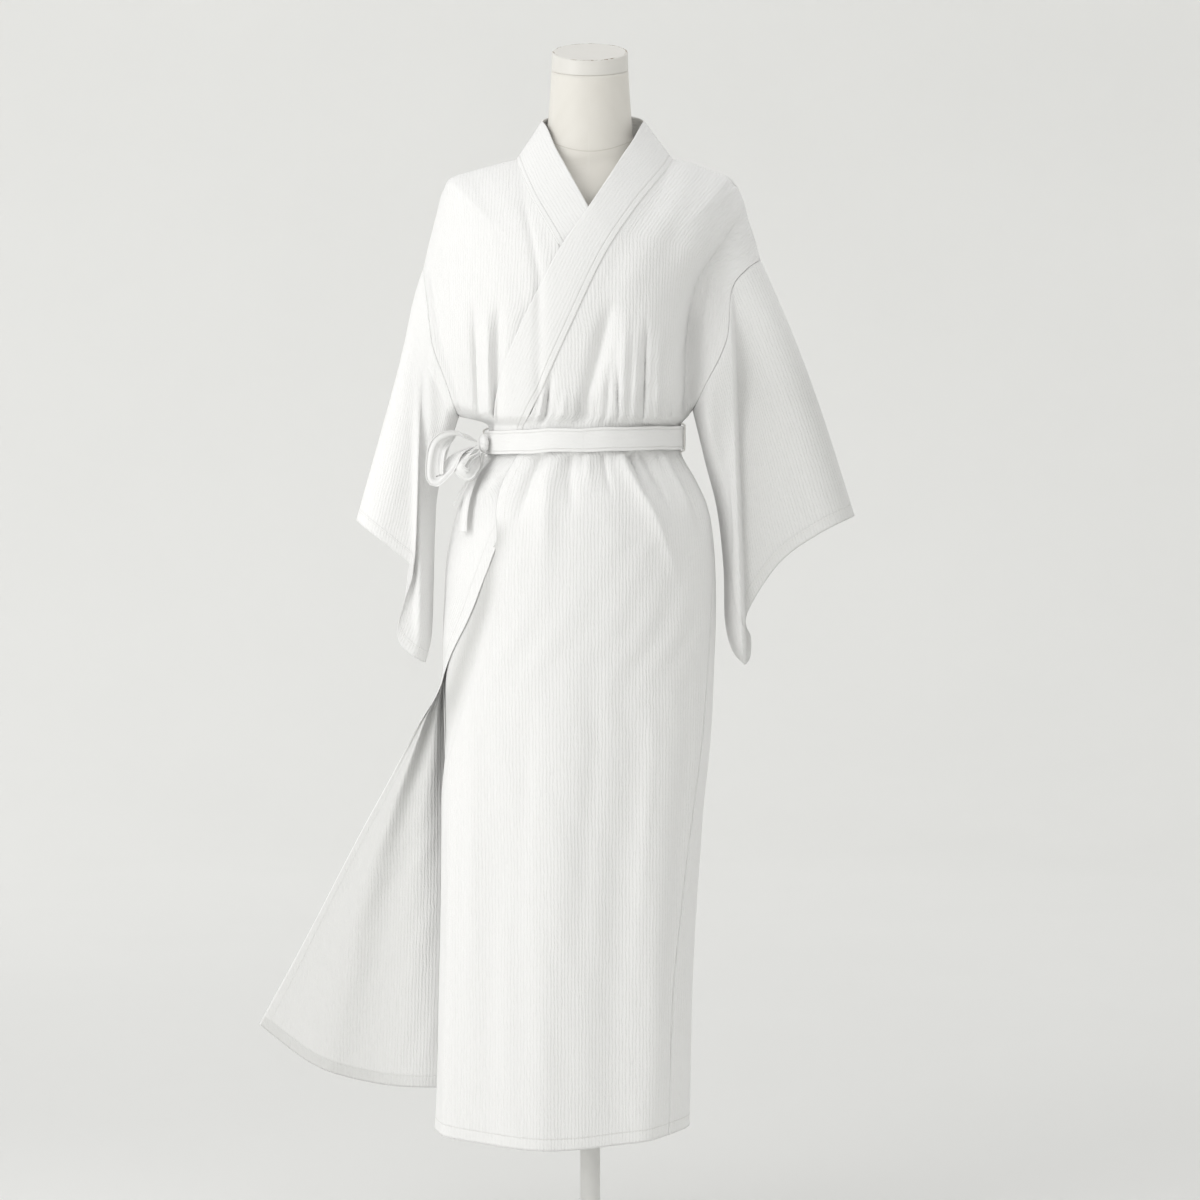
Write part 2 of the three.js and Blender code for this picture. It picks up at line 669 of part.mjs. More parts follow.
// Sleeves: a flat tube from the armhole to the open cuff, whose bottom corner hangs down.
const UNDERARM_TRIM = 0.012;
SIDES.forEach((here) => {
  const edges = {
    low: sleeveBottom[here],
    high: sleeveTop[here],
    near: armhole[here],
    far: cuff[here],
  };
  const point = (turn, along) => {
    const part = turn - Math.floor(turn);
    const height = (1 + Math.cos(2 * Math.PI * part)) / 2;
    const start = UNDERARM_TRIM * (1 - height) ** 6;
    const flat = patch(edges, mix(start, 1, along), height);
    const facing = part < 0.5 ? 1 : -1;
    const back = SLEEVE_SWING * smooth(0, 0.35, along) * (1 - height);
    return new THREE.Vector3(flat.x, -facing * depthAt(facing, flat.x, flat.y) + back, flat.y);
  };
  add(`sleeve_${here}`, wall(point, [...sleeveTurns.slice(0, -1), 1], equal(12), { round: true }));
});

// Collar: one long band in three stretches. The front ones lie on the chest and rise to the neck.
const collarRows = [0, 0.03, 0.045, 0.06, 0.075, 0.09, ...equal(16).slice(2)];
const NECK_FROM = [1425, 1500];
const BURIED_TO = [1330, 1420];
const SEAM_CLEARANCE = { low: 0.045, high: 0.014, levels: [1165, 1200] };
SIDES.forEach((here) => {
  const under = here === 'right';
  const [seam, edge] = [collarSeam[here], collarEdge[here]];
  const point = (u, v) => {
    const raised = smooth(...SEAM_CLEARANCE.levels, seam.at(v).y);
    const clearOfSeam = mix(SEAM_CLEARANCE.low, SEAM_CLEARANCE.high, raised);
    const flat = seam.at(v).lerp(edge.at(v), mix(clearOfSeam, 1, u));
    const edgeZ = edge.at(v).y;
    const seamDepth = depthAt(1, seam.at(v).x, seam.at(v).y);
    const freed = smooth(TIED_TOP, FREE_FROM, flat.y);
    const chestDepth = mix(ringDepth(flat), depthAt(1, flat.x, flat.y), freed);
    const depth = mix(chestDepth, mix(seamDepth, neckAt(edgeZ).depth, u), smooth(...NECK_FROM, edgeZ));
    const proud = under ? 0 : COLLAR_PROUD * smooth(0, 0.4, u);
    const buried = HIDDEN_DROP * mix(0.5, 1, smooth(0, 0.3, u)) * (1 - smooth(...BURIED_TO, flat.y));
    const sunk = under ? underDrop(depth) + buried : 0;
    return new THREE.Vector3(flat.x, -(depth + proud - sunk), flat.y);
  };
  add(`collar_${here}`, wall(point, equal(4), collarRows, { thick: COLLAR_WALL }));
});

function ringDepth({ x, y: z }) {
  const { left, right, front } = ringAt(Math.min(z, TIED_TOP));
  const across = clamp((x - (left + right) / 2) / ((right - left) / 2), -1, 1);
  return front * Math.sqrt(1 - across * across);
}

const backCollarPoint = (u, v) => {
  const low = backNeck.at((1 - Math.cos(Math.PI * v)) / 2);
  const seam = new THREE.Vector3(low.x, depthAt(-1, low.x, low.y), low.y);
  const sine = Math.sin(Math.PI * v);
  const x = NECK.x + NECK.half * Math.cos(Math.PI * v);
  const top = new THREE.Vector3(x, COLLAR_BACK * sine, NECK.z + COLLAR_RISE * sine);
  return seam.lerp(top, u);
};
add('collar_back', wall(backCollarPoint, equal(4), equal(16), { thick: COLLAR_WALL }));

// Belt, with a thread loop over it at each side seam.
const beltLevel = (turn) => BELT_LEVEL + BELT_CLIMB * Math.sin(radians(turn));
const beltPoint = (u, v) => {
  const turn = 360 * u;
  const place = ringPoint(turn, WAIST, BELT_LIFT);
  return place.setZ(beltLevel(turn) + BELT_HEIGHT * (v - 0.5));
};
add('belt', wall(beltPoint, equal(64), [0, 1], { thick: BELT_WALL, round: true }));

const LOOP_HALF = 20;
const LOOP_ROOT = 2.4;
const LOOP_LIFT = 9;
const LOOP_WIDTH = 1.3;
const LOOP_WALL = 1.2;
const LOOP_ROWS = [0, 0.05, 0.1, 0.5, 0.9, 0.95, 1];
[['left', 76], ['right', -97]].forEach(([here, place]) => {
  const point = (u, v) => {
    const level = beltLevel(place) + LOOP_HALF * (2 * v - 1);
    const out = mix(LOOP_ROOT, LOOP_LIFT, smooth(0, 0.1, v) * (1 - smooth(0.9, 1, v)));
    const seat = v < 0.5 ? Math.min(level, WAIST) : level;
    return ringPoint(place + LOOP_WIDTH * (u - 0.5), seat, out).setZ(level);
  };
  add(`belt_loop_${here}`, wall(point, [0, 1], LOOP_ROWS, { thick: LOOP_WALL }));
});

// Bow: a knot on the belt, two loops of the band, and its two hanging ends.
function knot() {
  const geometry = new THREE.SphereGeometry(1, 12, 8).scale(...KNOT_SIZE);
  geometry.rotateZ(radians(KNOT_ANGLE));
  const place = ringPoint(KNOT_ANGLE, WAIST, KNOT_LIFT);
  return geometry.translate(place.x, place.y, beltLevel(KNOT_ANGLE) - 1);
}
add('belt_knot', knot());

// A flat band along a curve through points, its width lying across the curve. The knot pinches it
// at both ends.
const PINCHED = 0.3;
const PINCH_PART = 0.22;

function band(points, across, width) {
  const curve = new THREE.CatmullRomCurve3(points.map((place) => new THREE.Vector3(...place)));
  const sideways = new THREE.Vector3(...across).normalize();
  const point = (u, v) => {
    const opened = smooth(0, PINCH_PART, v) * (1 - smooth(1 - PINCH_PART, 1, v));
    return curve.getPoint(v).addScaledVector(sideways, width * mix(PINCHED, 1, opened) * (u - 0.5));
  };
  return wall(point, [0, 1], equal(14), { thick: BAND_WALL });
}

const UPPER_LOOP = [[-149.6, -46.5, 1131], [-176, -60, 1140], [-200, -66, 1124], [-204, -66, 1084],
  [-190, -64, 1092], [-172, -57, 1114], [-150.1, -46.6, 1125]];
const LOWER_LOOP = [[-147.2, -45.5, 1119.6], [-164, -63, 1112], [-172, -72, 1098], [-162, -72, 1088],
  [-155, -66, 1096], [-145.6, -44.9, 1115.8]];
add('bow_loop_upper', band(UPPER_LOOP, [0.35, 1, 0.2], 24));
add('bow_loop_lower', band(LOWER_LOOP, [0.2, 1, -0.1], 20));

// The tie ends come out under the knot and hang on the wearer's right hip: height, angle, width in
// degrees and distance from the hip, down each of them.
const TIE_COLUMNS = ['z', 'turn', 'width', 'lift'];
const TIE_TOP = 1115;
const tieEnds = {
  front: [[TIE_TOP, -67.2, 3, KNOT_LIFT], [1102, -67.4, 5, 10], [1085, -68, 7, 7], [1045, -64, 7, 7],
    [1012, -60, 7, 7]],
  back: [[TIE_TOP, -70.4, 3, KNOT_LIFT], [1102, -74, 5, 10], [1087, -76, 7, 7], [1062, -80, 7, 7],
    [1045, -84, 7, 7]],
};
Object.entries(tieEnds).forEach(([here, rows]) => {
  const tieAt = readTable(TIE_COLUMNS, rows);
  const end = rows[rows.length - 1][0];
  const point = (u, v) => {
    const z = mix(TIE_TOP, end, v);
    const { turn, width, lift } = tieAt(z);
    return ringPoint(turn + width * (u - 0.5), z, lift);
  };
  add(`tie_end_${here}`, wall(point, [0, 0.5, 1], equal(9), { thick: BAND_WALL }));
});

// Dress form: sections from the hip to the neck. Above the shoulders they tilt forward.
const formAt = readTable(['z', 'half', 'front', 'back', 'tilt'], [
  [NECK_TOP, 51, 51, 51, 1],
  [1590, 53, 53, 53, 0.6],
  [1552, 56, 56, 56, 0.2],
  [1528, 59, 59, 60, 0],
  [1510, 74, 62, 62, 0],
  [1496, 100, 62, 64, 0],
  [1478, 138, 68, 68, 0],
  [1450, 160, 80, 78, 0],
  [1400, 158, 88, 84, 0],
  [1330, 124, 98, 84, 0],
  [1250, 108, 86, 78, 0],
  [1160, 96, 76, 72, 0],
  [1120, 98, 76, 76, 0],
  [1040, 122, 86, 92, 0],
  [960, 136, 92, 102, 0],
  [880, 138, 92, 102, 0],
  [POLE_TOP, 130, 86, 96, 0],
]);
const FORM_SIDES = 24;
const SHOULDER_POWER = 1.3;
const FORM_LEVELS = [POLE_TOP, 850, 880, 920, 960, 1000, 1040, 1080, 1120, 1160, 1205, 1250, 1290,
  1330, 1365, 1400, 1426, 1450, 1466, 1478, 1488, 1496, 1504, 1510, 1518, 1528, 1540, 1552, 1590,
  NECK_TOP];

const SHOULDER_RISE = [1400, 1450];
const SHOULDER_END = [1500, 1528];

function formRing(z) {
  const { half, front, back, tilt } = formAt(z);
  return equal(FORM_SIDES).slice(0, -1).map((part) => {
    const turn = 2 * Math.PI * part;
    const cosine = Math.cos(turn);
    const sloped = smooth(...SHOULDER_RISE, z) * (1 - smooth(...SHOULDER_END, z));
    const power = mix(1, SHOULDER_POWER, sloped);
    const y = -(cosine > 0 ? front : back) * Math.sign(cosine) * Math.abs(cosine) ** power;
    return new THREE.Vector3(half * Math.sin(turn), y, z + NECK_TILT * tilt * y);
  });
}
add('form_body', loft(FORM_LEVELS.map(formRing)), finish.cover);

// Neck cap: a slice with tilted faces, on top of the neck.
function capRing([radius, z, slope]) {
  return equal(FORM_SIDES).slice(0, -1).map((part) => {
    const turn = 2 * Math.PI * part;
    const y = -radius * Math.cos(turn);
    return new THREE.Vector3(radius * Math.sin(turn), y, z + slope * y);
  });
}
const capTop = NECK_TOP + CAP_HEIGHT;
const capRings = [
  [51, NECK_TOP + CLEAR, NECK_TILT],
  [50.2, capTop - 1.5, CAP_TILT],
  [48.7, capTop, CAP_TILT],
];
add('neck_cap', loft(capRings.map(capRing)), finish.cover);

// Stand: a steel pole in a socket on a round plate.
function turned(profile, sides = 20) {
  const points = profile.map(([radius, z]) => new THREE.Vector2(radius, z));
  return new THREE.LatheGeometry(points, sides).rotateX(Math.PI / 2);
}
const footProfile = [[0, 0], [FOOT_RADIUS, 0], [FOOT_RADIUS, 5], [FOOT_RADIUS - 8, FOOT_HEIGHT - 2],
  [SOCKET_RADIUS + 8, FOOT_HEIGHT], [SOCKET_RADIUS, FOOT_HEIGHT + 8], [SOCKET_RADIUS, SOCKET_HEIGHT],
  [SOCKET_RADIUS - 4, SOCKET_HEIGHT + 3], [0, SOCKET_HEIGHT + 3]];
add('foot', turned(footProfile, 32), finish.steel);
const poleFoot = SOCKET_HEIGHT + 3 + CLEAR;
const poleEnd = POLE_TOP - CLEAR;
const poleProfile = [[0, poleFoot], [POLE_RADIUS, poleFoot], [POLE_RADIUS, poleEnd], [0, poleEnd]];
add('pole', turned(poleProfile), finish.steel);

export default kimono;
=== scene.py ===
# %% [markdown]
# # A cotton kimono robe on a dress form
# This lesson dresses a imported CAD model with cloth. The model gives the true sizes, and every
# piece made here lies on it. Blender works in metres, +Z is up, the robe's front faces -Y and the
# wearer's left is +X. The sizes below are in millimetres, as a tailor writes them, and each
# mesh is scaled to metres when it is made.

import bpy
import numpy as np
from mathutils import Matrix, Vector


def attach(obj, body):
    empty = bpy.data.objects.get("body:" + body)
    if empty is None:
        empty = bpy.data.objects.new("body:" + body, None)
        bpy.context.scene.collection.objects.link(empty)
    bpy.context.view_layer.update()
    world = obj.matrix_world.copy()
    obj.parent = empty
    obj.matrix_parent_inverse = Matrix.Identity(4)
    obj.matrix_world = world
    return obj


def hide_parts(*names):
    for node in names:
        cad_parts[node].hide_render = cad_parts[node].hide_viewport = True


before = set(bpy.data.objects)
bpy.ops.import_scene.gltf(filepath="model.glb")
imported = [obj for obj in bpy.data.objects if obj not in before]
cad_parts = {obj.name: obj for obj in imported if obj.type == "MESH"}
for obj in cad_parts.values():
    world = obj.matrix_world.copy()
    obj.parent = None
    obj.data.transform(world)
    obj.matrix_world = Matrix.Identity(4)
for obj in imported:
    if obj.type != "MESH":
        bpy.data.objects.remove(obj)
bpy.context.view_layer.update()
MM = 0.001
print("nodes in the frame:", len(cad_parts))

# %% [markdown]
# ## The camera
# The photograph was taken level with the waist from far away, with a long lens, so that the
# robe is hardly distorted. A camera 4.5 m in front, 1.115 m up and tilted 2.5 degrees down
# gives the same lines. No shift and no depth of field are needed.

# %% Camera
CAMERA_DISTANCE = 4.5
CAMERA_HEIGHT = 1.115
CAMERA_SIDE = 0.0133
AIM_HEIGHT = 0.919
LENS = 101.0


def add_camera():
    data = bpy.data.cameras.new("camera")
    data.lens = LENS
    camera = bpy.data.objects.new("camera", data)
    bpy.context.scene.collection.objects.link(camera)
    camera.location = (CAMERA_SIDE, -CAMERA_DISTANCE, CAMERA_HEIGHT)
    aim = Vector((0.0, CAMERA_DISTANCE, AIM_HEIGHT - CAMERA_HEIGHT))
    camera.rotation_euler = aim.to_track_quat("-Z", "Y").to_euler()
    bpy.context.scene.camera = camera
    return camera


print("camera at", tuple(round(value, 3) for value in add_camera().location))

# %% [markdown]
# ## Shader maths as Python
# A material is a graph of nodes. Written node by node it is hard to read, so a small class wraps
# a socket and lets the maths be written as expressions: `rib * 0.4 + 1` adds its own Math nodes.
# Anything that isn't plain maths comes from one method that takes the node's type, its
# settings and the values or links of its sockets.

# %% A socket that knows its maths


class Socket:
    """One output of a node. The loop below gives it its maths."""

    def __init__(self, sheet, socket):
        self.sheet = sheet
        self.socket = socket

    def step(self, low, high):
        values = {"Value": self, "From Min": low, "From Max": high}
        settings = {"interpolation_type": "SMOOTHSTEP"}
        return self.sheet.node("ShaderNodeMapRange", settings, values, "Result")


def maths(operation, swapped):
    """A method that adds one Math node, with the socket itself first, or last if swapped."""
    def method(self, *others):
        values = (*others, self) if swapped else (self, *others)
        return self.sheet.node("ShaderNodeMath", {"operation": operation}, values)

    return method


for method_name, operation, swapped in (
        ("__add__", "ADD", False), ("__radd__", "ADD", True),
        ("__sub__", "SUBTRACT", False), ("__rsub__", "SUBTRACT", True),
        ("__mul__", "MULTIPLY", False), ("__truediv__", "DIVIDE", False),
        ("sine", "SINE", False), ("absolute", "ABSOLUTE", False),
        ("least", "MINIMUM", False), ("most", "MAXIMUM", False)):
    setattr(Socket, method_name, maths(operation, swapped))


class Sheet:
    """One material and its nodes."""

    def __init__(self, name):
        self.material = bpy.data.materials.new(name)
        self.material.use_nodes = True
        self.tree = self.material.node_tree
        self.shader = self.tree.nodes["Principled BSDF"]

    def _place(self, socket, value):
        if isinstance(value, Socket):
            self.tree.links.new(value.socket, socket)
        else:
            socket.default_value = value

    def node(self, kind, settings=None, values=(), output=0):
        made = self.tree.nodes.new(kind)
        for name, value in (settings or {}).items():
            setattr(made, name, value)
        pairs = values.items() if isinstance(values, dict) else enumerate(values)
        for key, value in pairs:
            self._place(made.inputs[key], value)
        return Socket(self, made.outputs[output])

    def map(self, name):
        return self.node("ShaderNodeUVMap", {"uv_map": name})

    def coordinates(self, name):
        """The first and second coordinate of a texture map."""
        first = self.node("ShaderNodeSeparateXYZ", {}, [self.map(name)])
        return first, Socket(self, first.socket.node.outputs[1])

    def noise(self, place, scale, detail=2.0, roughness=0.5):
        values = {"Vector": place, "Scale": scale, "Detail": detail, "Roughness": roughness}
        return self.node("ShaderNodeTexNoise", {}, values, "Fac")

    def blend(self, share, first, second):
        settings = {"data_type": "RGBA"}
        values = {0: share, 6: first, 7: second}
        return self.node("ShaderNodeMix", settings, values, 2)

    def streaks(self, place, across, along, detail=2.0, roughness=0.5):
        """Noise with its own scale in each direction of a map."""
        scale = [place, (across, along, 1)]
        stretched = self.node("ShaderNodeVectorMath", {"operation": "MULTIPLY"}, scale)
        return self.noise(stretched, 1.0, detail, roughness)

    def bump(self, height, strength, distance):
        values = {"Height": height, "Strength": strength, "Distance": distance}
        return self.node("ShaderNodeBump", {}, values, "Normal")

    def finish(self, **sockets):
        for name, value in sockets.items():
            self._place(self.shader.inputs[name.replace("_", " ")], value)
        return self.material


print("shader maths ready")

# %% [markdown]
# ## Shape from short tables
# A robe is easiest to describe as a tailor does: how wide and how deep it is at a few heights, and
# where each fold starts and ends. A table has named columns and a row for each height, from the
# top down, and a smooth curve runs through its rows. Everything works on whole arrays of
# points at once, which keeps a fine mesh fast.

# %% Tables and blends
CURVE_STEPS = 40
TINY = 1e-9


def smooth(low, high, value):
    """0 below low, 1 above high, and an even S-curve between."""
    part = np.clip((value - low) / (high - low), 0, 1)
    return part * part * (3 - 2 * part)


def plateau(rise, fall, value):
    """1 between two ranges, with a smooth rise over the first and a fall over the second."""
    return smooth(*rise, value) * (1 - smooth(*fall, value))


def mix(first, second, part):
    return first + (second - first) * part


def bell(offset, power=2.0):
    """1 in the middle, and near 0 at an offset of 1. A higher power makes a flatter top."""
    return np.exp(-2 * np.abs(offset) ** power)


def quarter_round(part):
    return np.sqrt(np.maximum(0, 1 - (1 - np.clip(part, 0, 1)) ** 2))


def read_table(columns, rows):
    """A function of height that gives each named column on a smooth curve through the rows."""
    rows = np.array(rows, float)[::-1]
    heights = rows[:, 0]
    places = np.arange(len(rows))
    before = np.maximum(places - 1, 0)
    after = np.minimum(places + 1, len(rows) - 1)
    slopes = (rows[after] - rows[before]) / (heights[after] - heights[before])[:, None]

    def at(height):
        z = np.clip(height, heights[0], heights[-1])
        index = np.clip(np.searchsorted(heights, z, side="right") - 1, 0, len(rows) - 2)
        step = heights[index + 1] - heights[index]
        t = (z - heights[index]) / step
        found = {}
        for column, name in enumerate(columns):
            low = rows[index, column] * (2 * t**3 - 3 * t**2 + 1)
            high = rows[index + 1, column] * (3 * t**2 - 2 * t**3)
            leave = slopes[index, column] * step * (t**3 - 2 * t**2 + t)
            reach = slopes[index + 1, column] * step * (t**3 - t**2)
            found[name] = low + high + leave + reach
        return found

    return at


def named(columns, rows):
    return [dict(zip(columns, row)) for row in rows]


def unit(vectors):
    return vectors / np.maximum(np.linalg.norm(vectors, axis=-1, keepdims=True), TINY)


def run_of(points, axis=0):
    """The length run along a line or a grid of points, from zero at its start."""
    steps = np.linalg.norm(np.diff(points, axis=axis), axis=-1)
    start = np.zeros_like(np.take(steps, [0], axis))
    return np.concatenate([start, np.cumsum(steps, axis=axis)], axis=axis)


def sampled(values, run, wanted):
    """Values given at the lengths in run, read at the wanted lengths."""
    return np.stack([np.interp(wanted, run, column) for column in values.T], axis=-1)


def even_curve(places, first, last, steps):
    """Points in even steps on a smooth curve through places. first and last steer its ends."""
    padded = np.vstack([first, places, last])
    t = np.linspace(0, 1, CURVE_STEPS, endpoint=False)[:, None]
    parts = []
    for before, start, end, after in zip(padded, padded[1:], padded[2:], padded[3:]):
        leave, reach = (end - before) / 2, (after - start) / 2
        curve = (2 * start - 2 * end + leave + reach) * t**3
        curve = curve + (3 * end - 3 * start - 2 * leave - reach) * t**2
        parts.append(curve + leave * t + start)
    dense = np.vstack([*parts, places[-1:]])
    run = run_of(dense)
    return sampled(dense, run, np.linspace(0, run[-1], steps))


print("a fold is", round(float(bell(0.5)), 2), "of its height half way down its side")

# %% [markdown]
# ## Flat outlines
# Seen from the front, each piece of the upper robe is a flat patch between four curved outlines:
# a collar seam, a shoulder, an armhole and a side. A path keeps such an outline as short
# straight steps. It can say where a share of its length lies, and how far away a point is, which
# later rounds the cloth over at the shoulders and the sides.

# %% Paths and patches
PATH_STEPS = 120
SIDE_STEPS = 24


class Path:
    def __init__(self, points):
        self.points = np.array(points, float)

    @classmethod
    def through(cls, places, steps=PATH_STEPS):
        places = np.array(places, float)
        return cls(even_curve(places, places[:1], places[-1:], steps + 1))

    def join(self, *others):
        return Path(np.vstack([self.points, *[path.points[1:] for path in others]]))

    def reverse(self):
        return Path(self.points[::-1])

    def at(self, part):
        place = np.clip(part, 0, 1) * (len(self.points) - 1)
        index = np.arange(len(self.points))
        x = np.interp(place, index, self.points[:, 0])
        return x, np.interp(place, index, self.points[:, 1])

    def distance(self, x, z):
        best = np.full(np.shape(x), np.inf)
        for (ax, az), (bx, bz) in zip(self.points, self.points[1:]):
            dx, dz = bx - ax, bz - az
            part = np.clip(((x - ax) * dx + (z - az) * dz) / (dx * dx + dz * dz), 0, 1)
            best = np.minimum(best, np.hypot(x - ax - dx * part, z - az - dz * part))
        return best


def patch(edges, u, v):
    """A flat place between four paths: low and high run across, near and far run up."""
    low, high, near, far = (edges[name] for name in ("low", "high", "near", "far"))
    corners = [low.at(0), low.at(1), high.at(0), high.at(1)]
    place = []
    for axis in (0, 1):
        value = near.at(v)[axis] * (1 - u) + far.at(v)[axis] * u
        value = value + low.at(u)[axis] * (1 - v) + high.at(u)[axis] * v
        value = value - corners[0][axis] * (1 - u) * (1 - v) - corners[1][axis] * u * (1 - v)
        value = value - corners[2][axis] * (1 - u) * v - corners[3][axis] * u * v
        place.append(value)
    return place


print("steps in an outline:", PATH_STEPS)

# %% [markdown]
# ## The lower robe
# Below the waist the robe is a tube. At each height it is an oval, whose four half axes come from
# one table, and its folds stand out from that oval. Folds are pressed in by the belt: they are
# short and deep under it, and long, shallow ones run on to the hem. Each fold is one row: the
# heights and angles of its ends, its half width in degrees, its rise (a trough is below zero)
# and how sharp its crest is. Angle 0 is the front, and 90 is the wearer's left side.

# %% Oval sections and folds below the waist
WAIST = 1134
HIP = 919
HEM = 196
BELT_LOW = 1118
SIDE_BLEND = 0.3

ring_at = read_table(["z", "left", "right", "front", "back"], [
    [1176, -180, 138, 114, 106],
    [1165, -175, 130, 111, 104],
    [1157, -150, 123, 107, 102],
    [1152, -137, 121, 105, 101],
    [1147, -135, 121, 105, 101],
    [WAIST, -134, 120, 104, 100],
    [1117, -135, 121, 104, 101],
    [1108, -139, 124, 106, 103],
    [1079, -160, 141, 114, 116],
    [1047, -175, 156, 119, 126],
    [1016, -184, 163, 121, 132],
    [972, -193, 167, 121, 136],
    [919, -197, 168, 120, 136],
    [865, -200, 167, 117, 134],
    [732, -200, 161, 110, 126],
    [625, -199, 151, 104, 118],
    [519, -200, 143, 100, 112],
    [385, -203, 137, 98, 108],
    [240, -207, 134, 97, 106],
    [180, -211, 132, 97, 106],
])
angles_at = read_table(["z", "upper", "under", "trough", "left_seam", "right_seam"], [
    [1180, -39, 5, -41, 90, -90],
    [WAIST, -39, 5, -41, 90, -90],
    [1117, -43, 0, -41, 90, -90],
    [1080, -44, -15, -41, 86, -92],
    [1047, -43, -28, -41, 82, -94],
    [1016, -40, -37, -41, 79, -95],
    [990, -38.5, -40, -40.5, 78, -96],
    [957, -42, -44, -40, 76, -97],
    [885, -54.5, -57, -44, 73, -99],
    [809, -80, -83, -53, 71, -101],
    [745, -84, -95, -66, 69, -103],
    [680, -86, -100, -78, 67, -104],
    [620, -89, -104, -86, 65, -105],
    [500, -91, -105, -90, 61, -105],
    [385, -91, -105, -91, 57, -105],
    [180, -91, -105, -91, 56, -105],
])
FOLD_COLUMNS = ["top", "bottom", "top_place", "bottom_place", "half", "rise", "power"]
SKIRT_FOLDS = named(FOLD_COLUMNS, [
    [BELT_LOW, 1010, -27, -30, 5, -11, 1.4],
    [BELT_LOW, 940, -18, -14, 7, 7, 1.8],
    [BELT_LOW, 1020, -8, -4, 5, -6, 1.4],
    [BELT_LOW, 1060, 2, 4, 4, 3, 1.6],
    [BELT_LOW, 1050, 11, 14, 3, -5, 1.4],
    [BELT_LOW, 930, 21, 48, 6, 10, 1.4],
    [BELT_LOW, 1040, 28, 33, 4, -9, 1.3],
    [BELT_LOW, 1020, 37, 46, 5, -8, 1.4],
    [BELT_LOW, 1000, 52, 58, 6, 5, 1.6],
    [BELT_LOW, 980, 62, 66, 7, -6, 1.8],
    [1000, 100, -4, -10, 14, 5, 2],
    [980, 100, 24, 22, 13, -5, 2],
    [900, 100, 44, 42, 12, 5, 2],
    [860, 100, -34, -38, 13, -5, 2],
    [800, 100, -62, -64, 12, 5, 2],
    [930, 380, 9, 6, 6, -2.4, 2],
    [900, 330, -20, -22, 6, -2.2, 2],
    [880, 300, 34, 33, 5, 2.2, 2],
    [840, 260, 56, 54, 6, -2.5, 2],
    [820, 300, -48, -50, 6, 2.4, 2],
    [BELT_LOW, 900, 118, 112, 8, 8, 1.8],
    [BELT_LOW, 860, 138, 134, 8, -9, 1.6],
    [BELT_LOW, 760, 157, 154, 9, 9, 1.8],
    [BELT_LOW, 820, 177, 172, 8, -9, 1.6],
    [BELT_LOW, 800, 199, 200, 9, 8, 1.8],
    [BELT_LOW, 880, 221, 224, 8, -8, 1.6],
    [900, 100, 128, 124, 15, 9, 2],
    [880, 100, 162, 160, 15, -9, 2],
    [860, 100, 196, 198, 15, 9, 2],
    [860, 100, 228, 230, 14, -7, 2],
])
PINCH_COUNT = 34
PINCH_SPAN = (-34, 262)
PINCH_FEET = (1062, 1096)


def belt_pinches(seed):
    """Small uneven pleats all round, just under the belt."""
    dice = np.random.default_rng(seed)
    rows = []
    for place in np.linspace(*PINCH_SPAN, PINCH_COUNT):
        turn = place + dice.uniform(-3, 3)
        rise = dice.uniform(1.0, 2.6) * dice.choice([-1, -1, 1])
        rows.append([BELT_LOW, dice.uniform(*PINCH_FEET), turn, turn + dice.uniform(-2, 2),
                     dice.uniform(1.2, 2.2), rise, 1.5])
    return named(FOLD_COLUMNS, rows)


SKIRT_FOLDS += belt_pinches(53)
TIED_OPENING = 0.1
FREE_OPENING = 0.5
FADE_FROM = 0.35


def skirt_fold(turn, z):
    total = np.zeros(np.broadcast(turn, z).shape)
    for fold in SKIRT_FOLDS:
        part = (fold["top"] - z) / (fold["top"] - fold["bottom"])
        centre = mix(fold["top_place"], fold["bottom_place"], part)
        away = (turn - centre + 180) % 360 - 180
        opened = smooth(0, TIED_OPENING if fold["top"] == BELT_LOW else FREE_OPENING, part)
        kept = 1 - smooth(FADE_FROM, 1, part) if fold["bottom"] > HEM else 1
        total = total + fold["rise"] * bell(away / fold["half"], fold["power"]) * opened * kept
    return total


def ring_span(ring):
    """Half the width of an oval, and its middle."""
    return (ring["right"] - ring["left"]) / 2, (ring["left"] + ring["right"]) / 2


def ring_point(turn, z, lift=0.0):
    ring = ring_at(z)
    half, middle = ring_span(ring)
    sine, cosine = np.sin(np.radians(turn)), np.cos(np.radians(turn))
    deep = mix(ring["back"], ring["front"], smooth(-SIDE_BLEND, SIDE_BLEND, cosine))
    out = lift + skirt_fold(turn, z)
    x = middle + (half + out) * sine
    return np.stack(np.broadcast_arrays(x, -(deep + out) * cosine, z), axis=-1)


print("the robe at the hip is", round(float(2 * ring_span(ring_at(HIP))[0])), "mm wide")

# %% [markdown]
# ## The upper robe
# Above the belt the robe hangs from the shoulders, so its shape is a height field: for each place
# (x, z) seen from the front, a depth in front of and behind the middle plane. The depth is a
# dome over the chest, rounded over at the shoulder line and at the sides, with folds laid on top.
# Creases run from the bust to the belt, and many small gathers stand just above it.

# %% Chest, outlines and bodice folds
SLEEVE_HALF = 38
SLEEVE_EDGE = 18
CHEST_CENTRE = -6
DOME_INNER = 2
DOME_OUTER = 1.1
FULL_DOME_OUTER = 0.6
SHOULDER_ROUND = 1.2
RIDGE_END = (1142, 1164)
TROUGH_END = (1134, 1148)
SLEEVE_FOLD_FOOT = 1000

